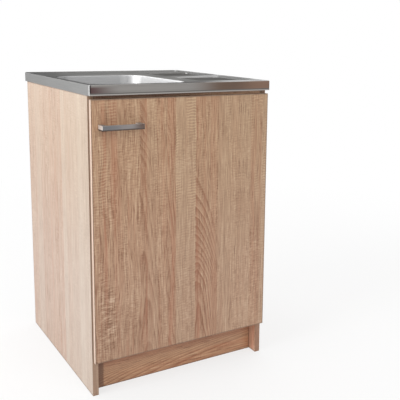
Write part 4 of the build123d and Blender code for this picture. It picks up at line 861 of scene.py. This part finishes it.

# stainless sink: satin deck, a bowl painted brighter with a painted highlight, apron with a
# folded hem painted pale as a highlight; painted reflections and shade on one steel
sinkSteel = {
    "deck": (0.290, 0.286, 0.280),
    "deckPale": (0.350, 0.345, 0.337),
    # painted reflection and shade: the deck darker at its left and front, the drainer panels dark,
    # their steps pale
    "deckLeftShade": (0.205, 0.204, 0.203),
    "deckFrontShade": (0.150, 0.148, 0.145),
    "panel": (0.200, 0.194, 0.187),
    "step": (0.620, 0.616, 0.610),
    "gleam": (0.520, 0.518, 0.516),
    # painted reflections in the bowl: a darker left, a pale right wall, and a floor in between
    "bowl": (0.300, 0.300, 0.302),
    "bowlHighlight": (0.790, 0.790, 0.792),
    "bowlFloor": (0.430, 0.430, 0.428),
    "apronFront": (0.195, 0.186, 0.177),
    "apronSide": (0.400, 0.400, 0.397),
    # painted reflections on the apron's front: browns, plum and a dark corner strip, and a pale hem
    "brownDark": (0.130, 0.090, 0.070),
    "brown": (0.205, 0.132, 0.098),
    "plum": (0.085, 0.048, 0.048),
    "corner": (0.020, 0.015, 0.015),
    "hem": (0.320, 0.300, 0.285),
    # the apron's front is this much paler in bands, and painted darker above its hem as shade
    "apronPale": 1.25,
    "apronShade": 0.6,
    "apronCells": (3.0, 1.0, 60.0),
    "cornerShare": 0.9,
    # how much of the gleam and of the bowl's right wall is pale instead of mirroring
    "milky": 0.45,
    "milkyWall": 0.55,
    "satinRough": 0.03,
    "rough": 0.40,
    "smudgeRough": 0.04,
    "spotRough": 0.02,
    "markSize": 0.05,
    "edgeTint": (0.08, 0.08, 0.08, 1.0),
    "relief": 0.000006,
    # plan of the bowl, from the sheet's left and front edges, and how softly it ends
    "bowlX": (0.020, 0.324),
    "bowlY": (0.036, 0.421),
    "bowlFade": 0.004,
    "besideFade": 0.020,
    # heights of the deck above the sheet's lowest edge, and of the apron
    "deckRise": 0.1435,
    "apronHeight": 0.028,
    # where each mask starts and where it is full; of four places the last two are where it is
    # gone again and where that begins. X and Y are metres from the sheet's left and front edges,
    # Depth is metres down from the deck, and Rise metres up from the apron's foot
    "mask": {
        "cloud": (0.35, 0.65),
        "sideways": (0.5, 0.8),
        "tilt": (0.92, 0.70),
        "deckLeftShadeX": (0.20, 0.02),
        "deckFrontShadeX": (0.08, 0.18, 0.44, 0.38),
        "deckFrontShadeY": (0.078, 0.046),
        "panelDepth": (0.0020, 0.0036),
        "stepY": (0.42, 0.38),
        "beforeX": (0.34, 0.45),
        "beforeY": (0.090, 0.078),
        "ridgeX": (0.36, 0.48),
        "ridgeY": (0.262, 0.272, 0.318, 0.308),
        "gleamDepth": (0.004, 0.001),
        "bowlDepth": (0.0015, 0.0050),
        "bowlHighlightX": (0.245, 0.304),
        "floorLevel": (0.4, 0.9),
        "floorDepth": (0.020, 0.050),
        "wallX": (0.285, 0.305),
        "frontFacing": (-0.6, -0.9),
        "frontY": (0.010, 0.006),
        "apronBand": (0.3, 0.7),
        "plumRise": (0.026, 0.018),
        "cornerX": (0.0016, 0.0026, 0.0062, 0.0040),
        "darkRise": (0.0068, 0.0052),
        "hemRise": (0.0036, 0.0028),
        "lines": (0.3, 0.7, 0.95, 1.05),    # changes the brightness from 0.95 to 1.05
        # shares of the sheet's width
        "brownDarkShare": (0.50, 0.72),
        "brownShare": (0.76, 0.94),
        "plumShare": (0.17, -0.02),
    },
}


# painted reflections on one steel: the deck darker at its left and front, dark drainer panels,
# pale steps, and pale gleams before the front panel and on the ridge between the panels
def deckColour(tree, values, x, y, depth, tilt, cloud):
    mask = values["mask"]
    deck = tint(tree, cloud, values["deck"], values["deckPale"])
    deck = tint(tree, between(tree, x, *mask["deckLeftShadeX"]), deck, values["deckLeftShade"])
    shade = product(tree, window(tree, x, *mask["deckFrontShadeX"]),
                    between(tree, y, *mask["deckFrontShadeY"]))
    deck = tint(tree, shade, deck, values["deckFrontShade"])
    bowlEnd = values["bowlX"][1]
    beside = between(tree, x, bowlEnd, bowlEnd + values["besideFade"])
    panel = product(tree, beside, between(tree, depth, *mask["panelDepth"]))
    deck = tint(tree, panel, deck, values["panel"])
    step = product(tree, beside, between(tree, y, *mask["stepY"]), tilt)
    deck = tint(tree, step, deck, values["step"])
    before = product(tree, between(tree, x, *mask["beforeX"]),
                     between(tree, y, *mask["beforeY"]))
    ridge = product(tree, window(tree, y, *mask["ridgeY"]), between(tree, x, *mask["ridgeX"]))
    gleam = product(tree, calc(tree, "MAXIMUM", before, ridge),
                    between(tree, depth, *mask["gleamDepth"]))
    return tint(tree, gleam, deck, values["gleam"]), gleam


# the bowl's steel is painted darker to the left, with a painted highlight on its right wall and a
# darker floor
def bowlColour(tree, values, x, y, depth, tilt, upward):
    mask = values["mask"]
    (left, right), (front, back), fade = values["bowlX"], values["bowlY"], values["bowlFade"]
    plan = product(tree, window(tree, x, left, left + fade, right, right - fade),
                   window(tree, y, front, front + fade, back, back - fade))
    sunk = between(tree, depth, *mask["bowlDepth"])
    bowl = product(tree, plan, calc(tree, "MAXIMUM", sunk, tilt))
    hollow = tint(tree, between(tree, x, *mask["bowlHighlightX"]), values["bowl"], values["bowlHighlight"])
    bottom = product(tree, between(tree, upward, *mask["floorLevel"]),
                     between(tree, depth, *mask["floorDepth"]))
    return tint(tree, bottom, hollow, values["bowlFloor"]), bowl


# painted reflections: brownish to the right, plum at the lower left, a dark strip by the corner;
# painted shade above the hem, and a pale folded hem painted as a highlight
def apronColour(tree, values, spot, x, rise, width):
    mask = values["mask"]
    plain = values["apronFront"]
    band = between(tree, cellNoise(tree, spot, values["apronCells"]), *mask["apronBand"])
    apron = tint(tree, band, plain, tuple(part * values["apronPale"] for part in plain))
    share = calc(tree, "DIVIDE", x, width)
    apron = tint(tree, between(tree, share, *mask["brownDarkShare"]), apron, values["brownDark"])
    apron = tint(tree, between(tree, share, *mask["brownShare"]), apron, values["brown"])
    plum = product(tree, between(tree, share, *mask["plumShare"]),
                   between(tree, rise, *mask["plumRise"]))
    apron = tint(tree, plum, apron, values["plum"])
    corner = product(tree, window(tree, x, *mask["cornerX"]), values["cornerShare"])
    apron = tint(tree, corner, apron, values["corner"])
    apron = tint(tree, between(tree, rise, *mask["darkRise"]), apron,
                 tuple(part * values["apronShade"] for part in plain))
    return tint(tree, between(tree, rise, *mask["hemRise"]), apron, values["hem"])


def sinkMaterial(values):
    mask = values["mask"]
    material, tree, shader, spot, facing = newMaterial(
        "sinkSteel", Metallic=1.0, Specular_Tint=values["edgeTint"])
    low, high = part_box("sink_top")
    width, _, height = high - low
    x, y, z = split(tree, vectorCalc(tree, "SUBTRACT", spot, low))
    depth = calc(tree, "SUBTRACT", values["deckRise"], z)
    rise = calc(tree, "SUBTRACT", z, height - values["apronHeight"])
    towardX, towardY, towardZ = split(tree, facing)
    sideways = between(tree, calc(tree, "ABSOLUTE", towardX), *mask["sideways"])
    tilt = between(tree, calc(tree, "ABSOLUTE", towardZ), *mask["tilt"])
    sheet = useGroup(tree, brushedSheet, Vector=spot, LinesAlongY=sideways)
    marks = useGroup(tree, handling, Vector=spot, Size=values["markSize"])
    cloud = between(tree, sheet["Cloud"], *mask["cloud"])
    deck, gleam = deckColour(tree, values, x, y, depth, tilt, cloud)
    hollow, bowl = bowlColour(tree, values, x, y, depth, tilt, towardZ)
    colour = tint(tree, bowl, deck, hollow)
    satin = calc(tree, "SUBTRACT", 1.0, bowl)
    # the side aprons take a paler grey than the front: painted light on the same steel
    colour = tint(tree, product(tree, sideways, satin), colour, values["apronSide"])
    front = product(tree, between(tree, towardY, *mask["frontFacing"]),
                    between(tree, y, *mask["frontY"]))
    colour = tint(tree, front, colour, apronColour(tree, values, spot, x, rise, width))
    colour = resized(tree, colour, between(tree, sheet["Lines"], *mask["lines"]))
    wall = product(tree, bowl, between(tree, x, *mask["wallX"]))
    milky = calc(tree, "MAXIMUM", product(tree, gleam, values["milky"]),
                 product(tree, wall, values["milkyWall"]))
    plug(tree, calc(tree, "SUBTRACT", 1.0, milky), shader["Metallic"])
    roughness = calc(tree, "MULTIPLY_ADD", satin, values["satinRough"], values["rough"])
    roughness = calc(tree, "MULTIPLY_ADD", marks["Smudge"], values["smudgeRough"], roughness)
    roughness = calc(tree, "MULTIPLY_ADD", marks["Spots"], values["spotRough"], roughness)
    wireShader(tree, shader, colour, roughness, sheet["Lines"], values["relief"])
    return material


dress("sink_top", sinkMaterial(sinkSteel))
print("sink dressed")

# bar handle: satin front with a painted sheen that pales and then painted brown shade along shares
# of its length, painted highlights on the top and ends, and a painted shadow at its foot
barHandle = {
    "front": (0.150, 0.150, 0.156),
    "frontSheenAndSmudge": (0.235, 0.215, 0.210),
    "paleShare": (0.15, 0.60),
    "frontBrownShade": (0.110, 0.068, 0.052),
    "brownShare": (0.66, 0.95),
    "top": (0.300, 0.285, 0.270),
    "ends": (0.720, 0.665, 0.625),
    "under": (0.070, 0.050, 0.042),
    "underRise": (0.0042, 0.0022),
    "markSize": 0.02,
    "smudge": 0.15,
    "metallic": 0.6,
    "rough": 0.42,
    "smudgeRough": 0.08,
    "relief": 0.00002,
}


def handleMaterial(values):
    material, tree, shader, spot, facing = newMaterial(
        "satinHandle", Metallic=values["metallic"])
    low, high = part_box("door_handle")
    x, _, z = split(tree, spot)
    sheet = useGroup(tree, brushedSheet, Vector=spot)
    marks = useGroup(tree, handling, Vector=spot, Size=values["markSize"])
    share = calc(tree, "DIVIDE", calc(tree, "SUBTRACT", x, low.x), high.x - low.x)
    colour = tint(tree, between(tree, share, *values["paleShare"]), values["front"],
                  values["frontSheenAndSmudge"])
    colour = tint(tree, between(tree, share, *values["brownShare"]), colour, values["frontBrownShade"])
    # painted light: the top and the ends are paler, and the foot is painted dark as shade
    colour = tint(tree, facingMask(tree, facing, (0, 0, 1.0)), colour, values["top"])
    colour = tint(tree, anyFacing(tree, facing, [(-1.0, 0, 0), (1.0, 0, 0)]), colour,
                  values["ends"])
    rise = calc(tree, "SUBTRACT", z, low.z)
    colour = tint(tree, between(tree, rise, *values["underRise"]), colour, values["under"])
    colour = tint(tree, product(tree, marks["Smudge"], values["smudge"]), colour,
                  values["frontSheenAndSmudge"])
    roughness = calc(tree, "MULTIPLY_ADD", marks["Smudge"], values["smudgeRough"], values["rough"])
    wireShader(tree, shader, colour, roughness, sheet["Lines"], values["relief"])
    return material


dress("door_handle", handleMaterial(barHandle))

# other metals: base colour, darker patches, roughness, and the pieces made of them
metals = {
    "nickelHinge": {
        "base": (0.56, 0.545, 0.52), "dark": (0.40, 0.385, 0.36), "rough": 0.28,
        "pieces": ["hinge_cups", "hinge_outer_links", "hinge_inner_links", "hinge_pins",
                   "hinge_arms", "hinge_plates"],
    },
    "zincPlate": {
        "base": (0.52, 0.53, 0.54), "dark": (0.36, 0.375, 0.385), "rough": 0.36,
        "pieces": ["handle_screws", "plinth_brackets", "plinth_bracket_screws", "cam_bolts",
                   "hinge_cup_screws", "hinge_plate_screws", "hinge_arm_screws", "sink_clips",
                   "sink_clip_screws"],
    },
    "chromedSteel": {
        "base": (0.62, 0.62, 0.625), "dark": (0.50, 0.50, 0.505), "rough": 0.15,
        "pieces": ["strainer_flange", "strainer_screw", "overflow_screw", "plug_ring"],
    },
    "castCam": {
        "base": (0.33, 0.33, 0.335), "dark": (0.22, 0.22, 0.225), "rough": 0.42,
        "pieces": ["cam_discs"],
    },
    "overflowSteel": {
        "base": (0.46, 0.46, 0.455), "dark": (0.40, 0.40, 0.395), "rough": 0.36,
        "pieces": ["overflow_plate"],
    },
}

metalFinish = {
    "cloud": (0.4, 0.6),
    "markSize": 0.012,
    "smudge": 0.25,
    "smudgeRough": 0.10,
    "relief": 0.000008,
}


def metalMaterial(name, values, finish):
    material, tree, shader, spot, _ = newMaterial(name, Metallic=1.0)
    sheet = useGroup(tree, brushedSheet, Vector=spot)
    marks = useGroup(tree, handling, Vector=spot, Size=finish["markSize"])
    colour = tint(tree, between(tree, sheet["Cloud"], *finish["cloud"]), values["base"],
                  values["dark"])
    colour = tint(tree, product(tree, marks["Smudge"], finish["smudge"]), colour, values["dark"])
    roughness = calc(tree, "MULTIPLY_ADD", marks["Smudge"], finish["smudgeRough"], values["rough"])
    wireShader(tree, shader, colour, roughness, sheet["Lines"], finish["relief"])
    return material


for name, values in metals.items():
    material = metalMaterial(name, values, metalFinish)
    for piece in values["pieces"]:
        dress(piece, material)
print("metal fittings dressed")

# moulded parts
plastics = {
    "whitePolypropylene": {
        "base": (0.80, 0.80, 0.785), "shade": (0.74, 0.735, 0.71), "rough": 0.32,
        "relief": 0.00005,
        "pieces": ["drain_body", "overflow_nut", "overflow_bend", "overflow_housing",
                   "tailpipe", "spigot_cap", "trap_nuts", "trap_bend", "outlet_pipe"],
    },
    "blackTrim": {
        "base": (0.022, 0.022, 0.024), "shade": (0.035, 0.035, 0.036), "rough": 0.35,
        "relief": 0.00005, "pieces": ["overflow_frame"],
    },
    "blackRubber": {
        "base": (0.020, 0.020, 0.021), "shade": (0.040, 0.039, 0.038), "rough": 0.55,
        "relief": 0.00012, "pieces": ["rubber_plug", "overflow_seal"],
    },
    "greyRubber": {
        "base": (0.14, 0.14, 0.14), "shade": (0.19, 0.185, 0.18), "rough": 0.6,
        "relief": 0.00012, "pieces": ["drain_seals"],
    },
    "clearBumper": {
        "base": (0.62, 0.62, 0.60), "shade": (0.55, 0.55, 0.53), "rough": 0.25,
        "relief": 0.00004, "pieces": ["door_bumpers"],
    },
}

plasticFinish = {"mottle": (0.4, 0.65), "markSize": 0.02, "smudgeRough": 0.12}


def plasticMaterial(name, values, finish):
    material, tree, shader, spot, _ = newMaterial(name, Specular_IOR_Level=0.5)
    skin = useGroup(tree, mouldedSkin, Vector=spot)
    marks = useGroup(tree, handling, Vector=spot, Size=finish["markSize"])
    colour = tint(tree, between(tree, skin["Mottle"], *finish["mottle"]), values["base"],
                  values["shade"])
    roughness = calc(tree, "MULTIPLY_ADD", marks["Smudge"], finish["smudgeRough"], values["rough"])
    wireShader(tree, shader, colour, roughness, skin["Skin"], values["relief"])
    return material


for name, values in plastics.items():
    material = plasticMaterial(name, values, plasticFinish)
    for piece in values["pieces"]:
        dress(piece, material)

beech = {
    "base": (0.56, 0.40, 0.25),
    "dark": (0.44, 0.29, 0.17),
    "fibres": [(60.0, 1400.0, 1400.0), 3.0],
    "rough": 0.6,
    "relief": 0.0002,
}


def dowelMaterial(values):
    material, tree, shader, spot, _ = newMaterial("beechDowel", Roughness=values["rough"])
    fibre = cellNoise(tree, spot, *values["fibres"])
    colour = tint(tree, fibre, values["dark"], values["base"])
    wireShader(tree, shader, colour, None, fibre, values["relief"])
    return material


dress("board_dowels", dowelMaterial(beech))
print("plastics, rubber and dowels dressed")

# studio: pale floor that keeps a soft shadow, white surroundings, soft lamps
studio = {
    "floorSize": 30.0,
    "floorColour": (0.84, 0.84, 0.84),
    "floorGlowNear": 0.72,
    "floorGlowFar": 1.0,
    "floorNear": 0.9,
    "floorFar": 2.6,
    "ambient": 0.62,
    "lamps": {
        "leftSoftbox": {"place": (-3.6, -0.6, 2.0), "aim": (0.0, 0.0, 0.45),
                        "size": (2.2, 2.2), "power": 98.0},
        "frontSoftbox": {"place": (0.9, -3.6, 2.4), "aim": (0.0, 0.0, 0.45),
                         "size": (2.4, 2.0), "power": 32.0},
        "rightSoftbox": {"place": (3.4, 1.4, 1.8), "aim": (0.0, 0.0, 0.45),
                         "size": (2.0, 2.0), "power": 16.0},
        "rearSoftbox": {"place": (-1.9, 3.2, 1.5), "aim": (-0.2, 0.0, 0.5),
                        "size": (1.6, 2.2), "power": 22.0},
        "topSoftbox": {"place": (0.3, 0.9, 3.2), "aim": (-0.05, 0.0, 0.8),
                       "size": (2.6, 2.2), "power": 26.0},
    },
}


def whiteRays(tree):
    path = addNode(tree, "ShaderNodeLightPath")
    seen = calc(tree, "MAXIMUM", path.outputs["Is Camera Ray"], path.outputs["Is Glossy Ray"])
    return calc(tree, "MAXIMUM", seen, path.outputs["Is Transmission Ray"])


def addFloor(values):
    half = values["floorSize"] / 2
    mesh = bpy.data.meshes.new("studioFloor")
    mesh.from_pydata(
        [(-half, -half, 0), (half, -half, 0), (half, half, 0), (-half, half, 0)], [],
        [(0, 1, 2, 3)])
    floor = bpy.data.objects.new("studioFloor", mesh)
    bpy.context.scene.collection.objects.link(floor)
    material = bpy.data.materials.new("studioFloor")
    material.use_nodes = True
    tree = material.node_tree
    tree.nodes.clear()
    matt = addNode(tree, "ShaderNodeBsdfDiffuse")
    matt.inputs["Color"].default_value = opaque(values["floorColour"])
    glow = addNode(tree, "ShaderNodeEmission")
    mix = addNode(tree, "ShaderNodeMixShader")
    spot = addNode(tree, "ShaderNodeTexCoord").outputs["Object"]
    away = addNode(tree, "ShaderNodeVectorMath", operation="LENGTH")
    plug(tree, spot, away.inputs[0])
    share = between(tree, away.outputs["Value"], values["floorNear"], values["floorFar"],
                    values["floorGlowNear"], values["floorGlowFar"])
    plug(tree, calc(tree, "MULTIPLY", whiteRays(tree), share), mix.inputs[0])
    plug(tree, matt.outputs[0], mix.inputs[1])
    plug(tree, glow.outputs[0], mix.inputs[2])
    end = addNode(tree, "ShaderNodeOutputMaterial")
    plug(tree, mix.outputs[0], end.inputs["Surface"])
    mesh.materials.append(material)


def setWorld(values):
    world = bpy.data.worlds.new("studioWorld")
    world.use_nodes = True
    tree = world.node_tree
    back = tree.nodes["Background"]
    strength = between(tree, whiteRays(tree), 0.0, 1.0, values["ambient"], 1.0)
    back.inputs["Color"].default_value = (1.0, 1.0, 1.0, 1.0)
    plug(tree, strength, back.inputs["Strength"])
    bpy.context.scene.world = world


def addLamp(name, values):
    lamp = bpy.data.lights.new(name, "AREA")
    lamp.shape = "RECTANGLE"
    lamp.size, lamp.size_y = values["size"]
    lamp.energy = values["power"]
    holder = bpy.data.objects.new(name, lamp)
    place = Vector(values["place"])
    aim = (Vector(values["aim"]) - place).to_track_quat("-Z", "Y")
    holder.matrix_world = Matrix.Translation(place) @ aim.to_matrix().to_4x4()
    bpy.context.scene.collection.objects.link(holder)


addFloor(studio)
setWorld(studio)
for name, values in studio["lamps"].items():
    addLamp(name, values)
bpy.context.scene.view_settings.view_transform = "Standard"
print("studio set")
